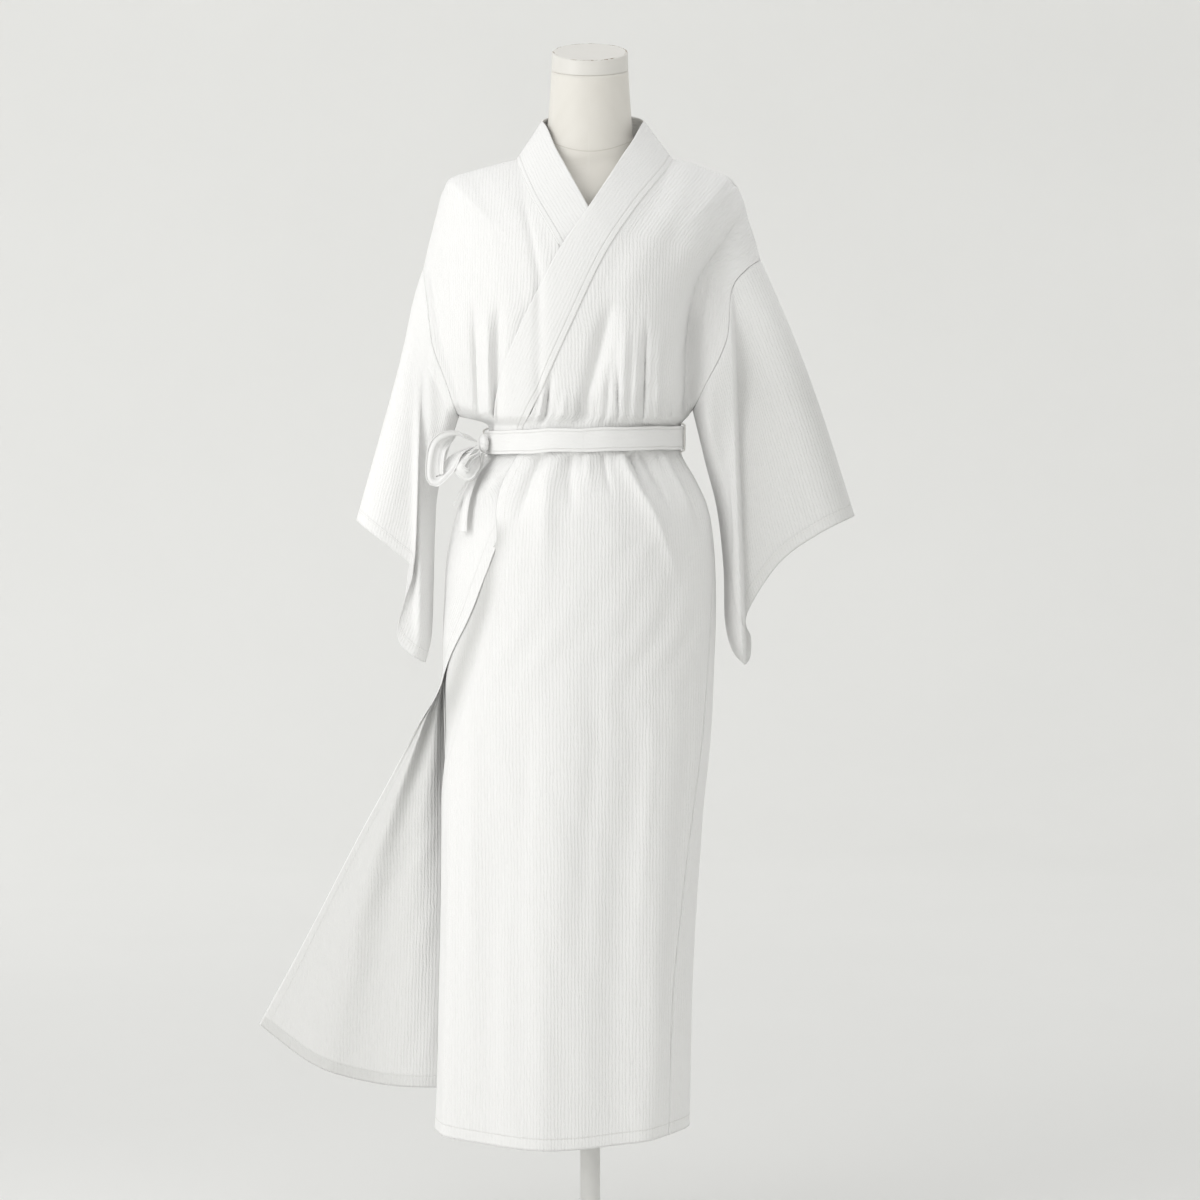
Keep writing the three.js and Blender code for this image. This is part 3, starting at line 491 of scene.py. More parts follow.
chest_at = read_table(["z", "front", "back", "left_span", "right_span", "right_power"], [
    [1510, 92, 92, 245, 235, 2],
    [1450, 106, 104, 245, 215, 2],
    [1400, 118, 112, 242, 185, 2.4],
    [1340, 124, 116, 236, 146, 3.4],
    [1260, 122, 116, 220, 132, 4],
    [1200, 116, 112, 195, 130, 4],
    [1130, 106, 102, 160, 128, 3],
])
SHOULDER = {
    "left": Path.through([[109, 1505], [131, 1501], [157, 1492], [183, 1482], [193, 1471],
                          [200, 1460], [227, 1372]]),
    "right": Path.through([[-97, 1505], [-149, 1492], [-185, 1480], [-194, 1465], [-200, 1449],
                           [-221, 1363]]),
}
SLEEVE_TOP = {
    "left": Path.through([[227, 1372], [269, 1276], [309, 1169], [353, 1032]]),
    "right": Path.through([[-221, 1363], [-235, 1319], [-257, 1222], [-312, 1026]]),
}
ARMHOLE = {
    "left": Path.through([[137, 1174], [151, 1203], [180, 1264], [187, 1330], [207, 1358],
                          [227, 1372]]),
    "right": Path.through([[-175, 1165], [-190, 1210], [-207, 1257], [-214, 1310], [-221, 1363]]),
}
SIDE = {
    "left": Path.through([[120, WAIST], [122, 1150], [137, 1174]], SIDE_STEPS),
    "right": Path.through([[-134, WAIST], [-138, 1150], [-175, 1165]], SIDE_STEPS),
}
SLEEVE_BOTTOM = {
    "left": Path.through([[137, 1174], [153, 1110], [171, 1040], [180, 960], [182, 890],
                          [192, 850], [208, 831]]),
    "right": Path.through([[-175, 1165], [-203, 1073], [-209, 1010], [-211, 940], [-214, 870],
                           [-222, 834]]),
}
CUFF = {
    "left": Path.through([[208, 831], [214, 843], [215, 869], [209, 900], [251, 968],
                          [304, 1008], [353, 1032]]),
    "right": Path.through([[-222, 834], [-250, 856], [-257, 879], [-247, 918], [-236, 960],
                           [-258, 984], [-312, 1026]]),
}
COLLAR_SEAM = {
    "left": Path.through([[-87, WAIST], [-86, 1150], [-78, 1165], [-65, 1194], [-45, 1239],
                          [-20, 1293], [7, 1351], [29, 1391], [64, 1442], [97, 1484], [109, 1505]]),
    "right": Path.through([[4, WAIST], [4, 1150], [2, 1168], [0, 1205], [-6, 1269], [-19, 1334],
                           [-39, 1385], [-71, 1442], [-86, 1475], [-97, 1505]]),
}
COLLAR_EDGE = {
    "left": Path.through([[-127, WAIST], [-124, 1184], [-113, 1228], [-95, 1272], [-70, 1323],
                          [-39, 1381], [-2, 1435], [26, 1478], [45, 1509], [56, 1526],
                          [71, 1556]]),
    "right": Path.through([[66, WAIST], [61, 1205], [55, 1270], [42, 1335], [21, 1390],
                           [-2, 1436], [-16, 1462], [-32, 1492], [-46, 1519], [-56, 1544],
                           [-63, 1556]]),
}
BACK_NECK = Path.through([[109, 1505], [62, 1500], [6, 1498], [-52, 1500], [-97, 1505]])

FRONT_FOLDS = named(FOLD_COLUMNS, [
    [1225, 1136, -50, -60, 6, -12, 1.4],
    [1205, 1136, -58, -70, 5, 5, 1.6],
    [1325, 1190, 32, -2, 15, -12, 1.8],
    [1310, 1136, 48, 40, 10, 6, 2],
    [1240, 1136, 36, 38, 4, -8, 1.3],
    [1310, 1136, 74, 69, 4, -8, 1.3],
    [1290, 1136, 62, 58, 5, 4, 1.6],
    [1240, 1136, 26, 20, 6, -5, 1.5],
    [1215, 1136, 4, 2, 6, 4, 1.8],
    [1200, 1136, -14, -16, 5, -5, 1.4],
    [1205, 1136, -32, -36, 6, 4, 1.8],
    [1300, 1136, 92, 88, 7, 4, 1.8],
    [1330, 1180, -119, -121, 9, -9, 1.7],
    [1320, 1136, -134, -133, 7, 6, 1.8],
    [1330, 1136, -152, -146, 8, -9, 1.6],
    [1340, 1165, 132, 129, 19, -11, 2],
    [1340, 850, -212, -214, 14, 7, 2],
    [1270, 850, -226, -228, 9, 9, 2],
    [1470, 1350, -92, -66, 9, -3.5, 1.8],
    [1440, 1330, 120, 98, 26, -4, 2],
])
BACK_FOLDS = named(FOLD_COLUMNS, [
    [1330, 1136, -70, -64, 12, -9, 1.6],
    [1340, 1136, -20, -18, 14, 8, 1.8],
    [1330, 1136, 34, 30, 12, -9, 1.6],
    [1320, 1136, 84, 78, 13, 7, 1.8],
    [1220, 1136, -96, -92, 6, 4, 1.6],
    [1230, 1136, 6, 4, 6, -5, 1.4],
    [1220, 1136, 58, 54, 6, 4, 1.6],
    [1250, 1136, -44, -40, 6, -5, 1.4],
    [1440, 1300, -40, -18, 24, -4, 2],
    [1440, 1300, 52, 30, 24, -4, 2],
    [1400, 860, 190, 206, 15, -10, 2],
    [1400, 860, -196, -232, 15, -10, 2],
])
GATHER_SPAN = (-62, 104)
GATHER_HEIGHTS = (1160, 1196)
GATHER_COUNT = 22


def gathers(seed):
    """Small pleats that the belt pinches: uneven in height, width and depth."""
    dice = np.random.default_rng(seed)
    rows = []
    for place in np.linspace(*GATHER_SPAN, GATHER_COUNT):
        x = place + dice.uniform(-2.5, 2.5)
        lean = dice.uniform(-3, 3)
        top = dice.uniform(*GATHER_HEIGHTS)
        rise = dice.uniform(1.2, 3.0) * dice.choice([-1, -1, 1])
        rows.append([top, 1136, x + lean, x, dice.uniform(1.8, 3.4), rise, 1.5])
    return named(FOLD_COLUMNS, rows)


FRONT_FOLDS += gathers(51)
BACK_FOLDS += gathers(52)
SLEEVE_STEP = {"top": 1368, "bottom": 905, "top_place": 186, "bottom_place": 204,
               "half": 3.2, "rise": 14, "opens": 0.35, "from": (125, 165)}


def bodice_fold(folds, x, z):
    total = np.zeros(np.shape(x))
    for fold in folds:
        part = (fold["top"] - z) / (fold["top"] - fold["bottom"])
        centre = mix(fold["top_place"], fold["bottom_place"], np.clip(part, 0, 1))
        hanging = fold["bottom"] < SLEEVE_FOLD_FOOT
        end = TROUGH_END if fold["rise"] < 0 else RIDGE_END
        kept = 1 - smooth(0.85, 1, part) if hanging else smooth(*end, z)
        shape = bell((x - centre) / fold["half"], fold["power"])
        total = total + fold["rise"] * shape * smooth(0, 0.45, part) * kept
    return total


def step_line(part):
    """The place across of the long fold of the left sleeve, at a part of its length."""
    return mix(SLEEVE_STEP["top_place"], SLEEVE_STEP["bottom_place"], np.clip(part, 0, 1.3))


def sleeve_step(x, z):
    """The step down from that fold toward the cuff."""
    part = (SLEEVE_STEP["top"] - z) / (SLEEVE_STEP["top"] - SLEEVE_STEP["bottom"])
    inside = smooth(-SLEEVE_STEP["half"], SLEEVE_STEP["half"], step_line(part) - x)
    shown = smooth(*SLEEVE_STEP["from"], x) * smooth(0, SLEEVE_STEP["opens"], part)
    return SLEEVE_STEP["rise"] * inside * shown


def depth_at(facing, x, z):
    """How far the cloth stands from the middle plane at (x, z), in front (1) or behind (-1)."""
    x, z = np.broadcast_arrays(np.asarray(x, float), np.asarray(z, float))
    chest = chest_at(z)
    offset = x - CHEST_CENTRE
    plain = (offset < 0) | (facing < 0)
    span = np.where(plain, chest["left_span"], chest["right_span"])
    across = np.minimum(np.abs(offset) / span, 1)
    inner = np.where(plain, DOME_INNER, chest["right_power"])
    dome = (1 - across**inner) ** np.where(plain, DOME_OUTER, FULL_DOME_OUTER)
    full = mix(SLEEVE_HALF, chest["front"] if facing > 0 else chest["back"], dome)
    from_top = np.minimum(SHOULDER["left"].distance(x, z), SHOULDER["right"].distance(x, z))
    sided = {}
    for here in ("left", "right"):
        low = np.minimum(SIDE[here].distance(x, z), SLEEVE_BOTTOM[here].distance(x, z))
        sided[here] = np.stack([SLEEVE_TOP[here].distance(x, z), low])
    sleeve_top, from_low = np.where(x > 0, sided["left"], sided["right"])
    from_top = np.minimum(from_top, sleeve_top)
    folds = bodice_fold(FRONT_FOLDS if facing > 0 else BACK_FOLDS, x, z)
    if facing > 0:
        folds = folds + sleeve_step(x, z)
    rounded = quarter_round(from_top / (SHOULDER_ROUND * full))
    rounded = rounded * quarter_round(from_low / SLEEVE_EDGE)
    return (full + folds) * rounded


print("the chest is", round(float(depth_at(1, -6.0, 1340.0))), "mm in front of the middle")

# %% [markdown]
# ## From a grid of points to cloth
# Each piece of cloth is a grid: columns run across it and rows run up it. Two copies of the
# grid, a cloth's thickness apart and closed at the edges, make a thin shell, the way real cloth
# has two faces. The grid also gives the weave its direction: its first texture map holds
# lengths across and along the grain, measured on the cloth itself, so that the ribs keep their
# real spacing on every piece. A second map holds how far each point is from a hem, and a third
# how much painted shade greys the cloth where it hangs alone and where it creases.

# %% Cloth from a grid
DETAIL = 1.0
CLOTH = 0.9
FAR = 1000.0


def counts(rows, columns):
    return max(4, round(rows * DETAIL)), max(4, round(columns * DETAIL))


def normals_of(grid, closed=False):
    if closed:
        wrapped = np.concatenate([grid[:, -2:-1], grid, grid[:, 1:2]], axis=1)
        across = wrapped[:, 2:] - wrapped[:, :-2]
    else:
        across = np.gradient(grid, axis=1)
    return unit(np.cross(across, np.gradient(grid, axis=0)))


def pair(first, second=FAR):
    """Two measures of each point as one map."""
    return np.stack(np.broadcast_arrays(first, second), axis=-1)


def grain_of(grid, anchor=None):
    """Lengths across and along the cloth, with the across length zero where x equals anchor."""
    across = run_of(grid, axis=1)
    if anchor is not None:
        for row, x in zip(across, grid[..., 0]):
            order = np.argsort(x)
            row -= np.interp(anchor, x[order], row[order])
    return pair(across, run_of(grid))


def mesh_from(name, points, faces, maps=None, material=None):
    """A smooth-shaded mesh. Points are in millimetres, and maps are already in metres."""
    mesh = bpy.data.meshes.new(name)
    faces = faces.tolist() if isinstance(faces, np.ndarray) else faces
    mesh.from_pydata((np.asarray(points) * MM).tolist(), [], faces)
    corners = np.zeros(len(mesh.loops), np.int32)
    mesh.loops.foreach_get("vertex_index", corners)
    for label, values in (maps or {}).items():
        layer = mesh.uv_layers.new(name=label)
        layer.data.foreach_set("uv", np.asarray(values, np.float32)[corners].ravel())
    mesh.polygons.foreach_set("use_smooth", np.ones(len(mesh.polygons), bool))
    mesh.update()
    piece = bpy.data.objects.new(name, mesh)
    bpy.context.scene.collection.objects.link(piece)
    if material:
        mesh.materials.append(material)
    return piece


def ring_faces(rows, columns):
    """Four-cornered faces between rings of points, one ring after the other."""
    faces = []
    for row in range(rows - 1):
        for column in range(columns):
            after = (column + 1) % columns
            low, high = row * columns, (row + 1) * columns
            faces.append((low + column, low + after, high + after, high + column))
    return faces


def shell(grid, thick=CLOTH, closed=False, **layers):
    """Points, faces and maps of a thin shell about a grid of points."""
    rows, columns = grid.shape[:2]
    normal = normals_of(grid, closed)
    half = np.asarray(thick)[..., None] / 2
    across = columns - 1 if closed else columns
    outer = (grid + normal * half)[:, :across].reshape(-1, 3)
    inner = (grid - normal * half)[:, :across].reshape(-1, 3)
    row, column = np.meshgrid(np.arange(rows - 1), np.arange(columns - 1), indexing="ij")
    after = (column + 1) % across
    a, b = row * across + column, row * across + after
    d, c = a + across, b + across
    under = rows * across
    faces = [np.stack([a, b, c, d], -1).reshape(-1, 4)]
    faces.append(np.stack([d, c, b, a], -1).reshape(-1, 4) + under)
    first, last = a[0], d[-1]
    faces.append(np.stack([first, first + under, b[0] + under, b[0]], -1))
    faces.append(np.stack([c[-1], c[-1] + under, last + under, last], -1))
    if not closed:
        near, far = a[:, 0], b[:, -1]
        faces.append(np.stack([d[:, 0], d[:, 0] + under, near + under, near], -1))
        faces.append(np.stack([far, far + under, c[:, -1] + under, c[:, -1]], -1))
    maps = {}
    for label, values in layers.items():
        flat = values[:, :across].reshape(-1, 2) * MM
        maps[label] = np.concatenate([flat, flat])
    return np.concatenate([outer, inner]), np.concatenate(faces), maps


def settle(piece, node):
    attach(piece, "root")
    if node:
        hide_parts(node)
    return piece


def cloth(name, node, grid, material, hem, anchor=None, sheer=0.0, shade=0.0, grain=None, **how):
    """One piece of cloth. Its two shade values, from 0 to 1, are painted shade where it hangs alone
    and in its creases.
    """
    layers = pair(np.zeros(grid.shape[:2]) + sheer, shade) / MM
    measured = grain_of(grid, anchor) if grain is None else grain
    points, faces, maps = shell(grid, grain=measured, hem=hem, sheer=layers, **how)
    print(name, "faces:", len(faces))
    return settle(mesh_from(name, points, faces, maps, material), node)


print("cloth shells are", CLOTH, "mm thick")

# %% [markdown]
# ## Unevenness
# No hand-hung cloth is even. A few slow waves with fixed starting points, longer down the cloth
# than across it, move each panel in and out by less than a millimetre. They are not seen as
# such, but they break up the light as real cloth does.

# %% Slow waves
WAVES = 14
WAVE_ACROSS = (38, 150)
WAVE_ALONG = (160, 620)


def slow_waves(across, along, depth, seed):
    dice = np.random.default_rng(seed)
    total = np.zeros(np.shape(across))
    for _ in range(WAVES):
        wide, tall = dice.uniform(*WAVE_ACROSS), dice.uniform(*WAVE_ALONG)
        lean = dice.uniform(-0.25, 0.25)
        start = dice.uniform(0, 2 * np.pi)
        total += np.sin(2 * np.pi * ((across + lean * along) / wide + along / tall) + start)
    return depth * total / np.sqrt(WAVES)


print("waves are", WAVE_ACROSS, "mm wide")

# %% [markdown]
# ## The three body panels
# The robe has two fronts and one back. Each runs in one piece from the hem to the shoulder: as
# part of the oval below the belt and as part of the height field above it, blended at the belt.
# The left front is on top. The right front lies under it, wraps the wearer's right hip, and
# from the hip down its free edge has blown out to the side and back, wrong side forward.

# %% Panel surfaces
UNDER_LAYER = 4.5
FULL_DROP_DEPTH = 40
TIED_TOP = 1150
FREE_FROM = 1165
WAIST_STEPS = 48
TOP_CLOSING = 1.5
SIDE_RISE = 11
LEFT_RISE = 6
FLY_RISE = 50
FLY_SEAM = -105
FLY_REACH = (12, 50)


def hem_height(turn):
    sine = np.sin(np.radians(turn))
    turned = np.where(turn > 180, turn - 360, turn) - FLY_SEAM
    lifted = (turned < FLY_REACH[0]) * (1 - smooth(*FLY_REACH, np.abs(turned)))
    return HEM + SIDE_RISE * sine * sine + LEFT_RISE * np.maximum(0, sine) + FLY_RISE * lifted


def under_drop(depth):
    return UNDER_LAYER * np.minimum(1, depth / FULL_DROP_DEPTH)


def waist_path(start, end):
    half, middle = ring_span(ring_at(WAIST))
    turns = np.linspace(start, end, WAIST_STEPS)
    return Path([[middle + half * np.sin(np.radians(turn)), WAIST] for turn in turns])


def bodice_grid(panel, u, v):
    x, z = patch(panel["edges"], u, 1 - (1 - v) ** TOP_CLOSING)
    depth = depth_at(panel["facing"], x, z)
    inner = depth - panel["drop"](u) * under_drop(depth) - panel["hidden"](x, z)
    free = np.stack([x, -panel["facing"] * inner, z], axis=-1)
    turn = mix(panel["start"](WAIST), panel["end"](WAIST), u)
    tied = ring_point(turn, np.minimum(z, TIED_TOP), -panel["drop"](u) * UNDER_LAYER)
    tied[..., 2] = z
    return mix(tied, free, smooth(TIED_TOP, FREE_FROM, z)[..., None])


def skirt_grid(panel, u, v):
    hem = hem_height(mix(panel["start"](HEM), panel["end"](HEM), u))
    z = mix(hem, WAIST, v)
    turn = mix(panel["start"](z), panel["end"](z), u)
    return ring_point(turn, z, -panel["drop"](u) * UNDER_LAYER)


TUCK = 7
TUCK_WIDTH = (-3, 9)
TUCK_TOP = (985, 1006)
TUCK_FOOT = (640, 740)
TUCK_LINE = {"depth": 5, "half": 5}
EDGE_REACH = 5
EDGE_REACH_TOP = (985, 1003)
EDGE_REACH_FOOT = (740, 790)


def upper_skirt_grid(panel, u, v):
    """The upper front. Beside the under front's edge it tucks in, and runs on a little behind."""
    hem = hem_height(mix(panel["start"](HEM), panel["end"](HEM), u))
    z = mix(hem, WAIST, v)
    reach = plateau(EDGE_REACH_FOOT, EDGE_REACH_TOP, z)
    turn = mix(panel["start"](z) - EDGE_REACH * reach, panel["end"](z), u)
    away = angles_at(z)["trough"] - turn
    tied = plateau(TUCK_FOOT, TUCK_TOP, z)
    line = TUCK_LINE["depth"] * bell(away / TUCK_LINE["half"])
    return ring_point(turn, z, -tied * (TUCK * smooth(*TUCK_WIDTH, away) + line))


def angle_of(name, turn=0):
    return lambda z: angles_at(z)[name] + turn


def seam_join(here):
    return SIDE[here].join(ARMHOLE[here])


PLAIN = {"drop": lambda u: 0 * u, "hidden": lambda x, z: 0 * x}
front_left = PLAIN | {
    "facing": 1,
    "skirt": upper_skirt_grid,
    "start": angle_of("upper"),
    "end": angle_of("left_seam"),
    "edges": {"low": waist_path(-39, 90), "high": SHOULDER["left"],
              "near": COLLAR_SEAM["left"], "far": seam_join("left")},
}
back = PLAIN | {
    "facing": -1,
    "start": angle_of("left_seam"),
    "end": angle_of("right_seam", 360),
    "edges": {"low": waist_path(90, 270),
              "high": SHOULDER["left"].reverse().join(BACK_NECK, SHOULDER["right"]),
              "near": seam_join("left"), "far": seam_join("right")},
}
print("the hem is", round(float(hem_height(0.0))), "mm above the floor in front")

# %% [markdown]
# The panel that blows out is steered by its free edge. A table gives that edge's place at each
# height, and the cloth between it and the side seam sags a little and waves, as a flag does.

# %% The under front and how it flies
HIDDEN_DROP = 8
HIDDEN_EDGE = (0.3, 0.5)
HIDDEN_TOP = (1100, 1125)
HIDDEN_FOOT = (1016, 1060)
SEAM_TURN = 1.6
FLY_FROM = (745, 860)
FLY_WAVES = 2
FLY_WAVE_DEPTH = 6
FLY_SAG = 22
FLY_SAG_FROM = 600
LAP = {"x": -60, "half": 40, "top": (1250, 1330)}

fly_at = read_table(["z", "edge_x", "edge_y", "edge_z", "belly"], [
    [809, -203, -14, 809, 0],
    [745, -234, 10, 745, -6],
    [673, -272, 38, 673, -14],
    [589, -318, 72, 589, -20],
    [461, -385, 122, 461, -24],
    [HEM, -463, 176, 318, -26],
])


def under_skirt_grid(panel, u, v):
    level = mix(HEM, WAIST, v)
    seam_z = mix(hem_height(np.float64(FLY_SEAM)), WAIST, v)
    hidden = (1 - smooth(*HIDDEN_EDGE, u)) * smooth(*HIDDEN_FOOT, level)
    hidden = hidden * (1 - smooth(*HIDDEN_TOP, level))
    inner = panel["drop"](u) * UNDER_LAYER + HIDDEN_DROP * hidden
    turn = mix(panel["start"](level), panel["end"](seam_z), u)
    wrapped = ring_point(turn, mix(level, seam_z, u), -inner)
    fly = fly_at(level)
    seam = ring_point(panel["end"](seam_z), seam_z)
    edge = np.stack([fly["edge_x"], fly["edge_y"], fly["edge_z"]], axis=-1)
    flown = mix(edge, seam + unit(edge - seam) * SEAM_TURN, u[..., None])
    swing = np.sin(np.pi * u)
    wave = FLY_WAVE_DEPTH * np.sin(2 * np.pi * FLY_WAVES * u) * swing
    flown[..., 0] += 0.5 * fly["belly"] * swing
    flown[..., 1] += fly["belly"] * swing + wave
    flown[..., 2] -= FLY_SAG * swing * smooth(FLY_SAG_FROM, HEM, level)
    return mix(wrapped, flown, (1 - smooth(*FLY_FROM, level))[..., None])


front_right = PLAIN | {
    "facing": 1,
    "start": angle_of("under"),
    "end": angle_of("right_seam"),
    "drop": lambda u: 1 - smooth(0.88, 1, u),
    "hidden": lambda x, z: (HIDDEN_DROP * bell((x - LAP["x"]) / LAP["half"])
                            * (1 - smooth(*LAP["top"], z))),
    "skirt": under_skirt_grid,
    "edges": {"low": waist_path(5, -90), "high": SHOULDER["right"],
              "near": COLLAR_SEAM["right"], "far": seam_join("right")},
}
print("the blown corner reaches x =", fly_at(float(HEM))["edge_x"])

# %% [markdown]
# A panel's grid puts its rows closer where the cloth turns over at the shoulder. The same grid
# then takes the slow waves, which fade out at the seams so that neighbours still meet.

# %% Panel grids
SKIRT_ROWS = 240
BODICE_ROWS = 108
EDGE_TRIM = 0.08
WAVE_FADE = 18.0
WAVE_DEPTH = 0.6


def trimmed(grid):
    """The same grid, drawn in at its edges so that neighbours don't touch."""
    grid = grid.copy()
    for axis in (0, 1):
        lines = np.moveaxis(grid, axis, 0)
        for edge, inside in ((0, 1), (-1, -2)):
            step = lines[inside] - lines[edge]
            length = np.linalg.norm(step, axis=-1, keepdims=True)
            lines[edge] += unit(step) * np.minimum(EDGE_TRIM, length * 0.4)
    return grid


def waved(grid, depth, seed):
    """Moves a grid in and out by slow waves, held still near its sides."""
    across, along = np.moveaxis(grain_of(grid), -1, 0)
    inside = smooth(0, WAVE_FADE, across) * smooth(0, WAVE_FADE, across[:, -1:] - across)
    move = slow_waves(across, along, depth, seed) * inside
    return grid + normals_of(grid) * move[..., None]


def panel_grid(panel, columns, seed, depth=WAVE_DEPTH):
    skirt_rows, columns = counts(SKIRT_ROWS, columns)
    bodice_rows, _ = counts(BODICE_ROWS, columns)
    u = np.linspace(0, 1, columns + 1)[None, :]
    low = np.linspace(0, 1, skirt_rows, endpoint=False)[:, None]
    high = np.linspace(0, 1, bodice_rows + 1)[:, None]
    skirt = panel.get("skirt", skirt_grid)(panel, *np.broadcast_arrays(u, low))
    grid = np.concatenate([skirt, bodice_grid(panel, *np.broadcast_arrays(u, high))])
    return trimmed(waved(grid, depth, seed))


def hem_map(grid, edge=None):
    """Distance up from the hem, and distance in from a stitched free edge, for each point."""
    across, along = np.moveaxis(grain_of(grid), -1, 0)
    return pair(along, across + FAR * (grid[..., 2] > WAIST) if edge == "near" else FAR)


print("rows in a panel:", SKIRT_ROWS + BODICE_ROWS)

# %% [markdown]
# ## White crinkled cotton
# The cloth is a matte white cotton crepe. Some of its threads shrink in washing, so it puckers
# into narrow ribs that run down the cloth, 4 to 5 mm apart and broken every few millimetres.
# It could be modelled, but a million puckers are better as bump. The ribs come from a sine
# across the grain, pushed sideways and broken up by noise that is long down the cloth.

# %% Cotton
RIB_SPACING = 0.0046
RIB_BREAK = 0.0048
PUCKER_HEIGHT = 0.0008
COTTON_LIGHT = (0.90, 0.898, 0.89, 1)
COTTON_SHADE = (0.80, 0.797, 0.788, 1)
# Painted shade: the grey that cloth takes where it hangs alone and in creases, and its share.
PAINTED_SHADE_COLOUR = (0.60, 0.60, 0.585, 1)
SHEER_SHADE_SHARE = 0.55
THREAD_SPACING = (0.00055, 0.00062)
STITCH_LINE = 0.0160
STITCH_HALF = 0.0011
HEM_EDGE = 0.0006
# Painted highlight: how far in from a stitched free edge the cloth is kept light.
EDGE_HIGHLIGHT = (0.0015, 0.0040)


def cotton(name, rib=1.0):
    sheet = Sheet(name)
    grain = sheet.map("grain")
    across, along = sheet.coordinates("grain")
    drift = (sheet.streaks(grain, 140, 34) - 0.5) * 7.2
    wave = (across * (2 * np.pi / RIB_SPACING) + drift).sine()
    broken = sheet.streaks(grain, 210, 1 / RIB_BREAK, 1.0).step(0.36, 0.62)
    crepe = sheet.noise(grain, 720.0, 2.0, 0.6)
    warp, weft = ((place * (2 * np.pi / spacing)).sine()
                  for place, spacing in zip((across, along), THREAD_SPACING))
    ribs = wave * (broken * 0.75 + 0.25) * (0.5 * rib)
    from_hem, from_edge = sheet.coordinates("hem")
    nearest = from_hem.least(from_edge)
    line = 1 - ((nearest - STITCH_LINE).absolute() / STITCH_HALF).least(1.0)
    height = ribs + (crepe - 0.5) * 0.55 + warp * weft * 0.035 - line * 1.1
    # Painted shade darkens the rib valleys and the stitch groove; the cloudy noise is the cloth's
    # own uneven tone.
    valley_shade = (0.5 - ribs * 0.35 - (crepe - 0.5) * 0.4).step(0.2, 0.9)
    cloudy = sheet.noise(grain, 9.0, 3.0)
    share = valley_shade * 0.22 + (cloudy - 0.5) * 0.10 + line * 0.3
    colour = sheet.blend(share.most(0.0), COTTON_LIGHT, COTTON_SHADE)
    # Painted shade greys the cloth where it hangs alone, more in its doubled hem band there, and in
    # its creases.
    alone_shade, crease_shade = sheet.coordinates("sheer")
    hem_band_shade = 1 - from_hem.step(STITCH_LINE - HEM_EDGE, STITCH_LINE + HEM_EDGE)
    # Painted highlight: no painted shade close to the stitched free edge, so it shows as a light
    # line.
    rim = 1 - from_edge.step(*EDGE_HIGHLIGHT)
    hanging = alone_shade * (SHEER_SHADE_SHARE + hem_band_shade * 0.22) * (1 - rim)
    colour = sheet.blend(hanging + crease_shade, colour, PAINTED_SHADE_COLOUR)
    return sheet.finish(Base_Color=colour, Roughness=0.88 + (crepe - 0.5) * 0.1,
                        Normal=sheet.bump(height, 0.55, PUCKER_HEIGHT), Sheen_Weight=0.18,
                        Sheen_Roughness=0.5, Specular_IOR_Level=0.25)


robe_cotton = cotton("robe_cotton")
print("ribs are", RIB_SPACING * 1000, "mm apart")

# %% [markdown]
# ## Fronts and back
# The upper front carries a stitched hem along its foot. The under front has one too, and a
# narrow stitched edge down its free side. The wide back panel uses the same functions.

# %% Fronts and back
FREE_EDGE_STITCH = 14.0
FLY_SHADE_LIFT = 30
FLY_LIT = {"share": 0.55, "reach": (0.6, 1.0)}
EDGE_SHADE = {"share": 0.85, "half": 10, "top": (1000, 1035), "foot": (690, 800)}
edge_shade_at = read_table(["z", "x"], [
    [1035, -117], [1025, -120], [972, -133], [919, -141], [865, -159], [812, -176],
    [759, -193], [705, -208],
])
BELT_SHADE = {"share": 0.2, "above": (1150, 1215), "below": (1085, 1118), "side": (-75, -25)}


def sheer_of(grid):
    """Painted shade where the under front hangs alone, with nothing behind it, from 0 to 1, with
    less of it near the side seam.
    """
    across = np.linspace(0, 1, grid.shape[1])
    lit = 1 - FLY_LIT["share"] * smooth(*FLY_LIT["reach"], across)
    return (1 - smooth(*FLY_FROM, grid[..., 2] + FLY_SHADE_LIFT)) * lit


def belt_shade(grid):
    """The soft shade in the gathers just above and below the belt."""
    x, z = grid[..., 0], grid[..., 2]
    near = plateau(BELT_SHADE["below"], BELT_SHADE["above"], z)
    return BELT_SHADE["share"] * near * smooth(*BELT_SHADE["side"], x)


def edge_shade(grid):
    """The soft shade in the crease beside the under front's edge."""
    x, y, z = np.moveaxis(grid, -1, 0)
    line = edge_shade_at(np.clip(z, 705, 1035))["x"]
    reach = plateau(EDGE_SHADE["foot"], EDGE_SHADE["top"], z) * (y < 0)
    return EDGE_SHADE["share"] * bell((x - line) / (2 * EDGE_SHADE["half"])) * reach


panel_grids = {
    "front_left": panel_grid(front_left, 118, 11),
    "front_right": panel_grid(front_right, 96, 12, 0.5),
    "back": panel_grid(back, 122, 13),
}
left_grid, right_grid, back_grid = panel_grids.values()
cloth("robe_front_left", "front_left", left_grid, robe_cotton, hem=hem_map(left_grid), anchor=36,
      shade=edge_shade(left_grid) + belt_shade(left_grid))
cloth("robe_front_right", "front_right", right_grid, robe_cotton,
      hem=hem_map(right_grid, edge="near"), anchor=-150, sheer=sheer_of(right_grid))
cloth("robe_back", "back", back_grid, robe_cotton, hem=hem_map(back_grid), anchor=0)

# %% [markdown]
# ## Sleeves
# Each sleeve is a flat tube sewn to the armhole, with an open cuff that slants down and a deep
# lower corner that hangs behind. Its grid closes on itself round the sleeve.

# %% Sleeves
SLEEVE_SWING = 30
UNDERARM_TRIM = 0.004
SLEEVE_TURNS = 190
SLEEVE_LENGTHS = 110
SEAM_TUCK = 1.2
SEAM_TUCK_REACH = 0.02
SEAM_LAP = 0.006
FOLD_SHADE = {"near": 0.5, "far": 0.34, "reach": 40, "from": (0, 4), "top": (0.1, 0.4),
              "back": 20}


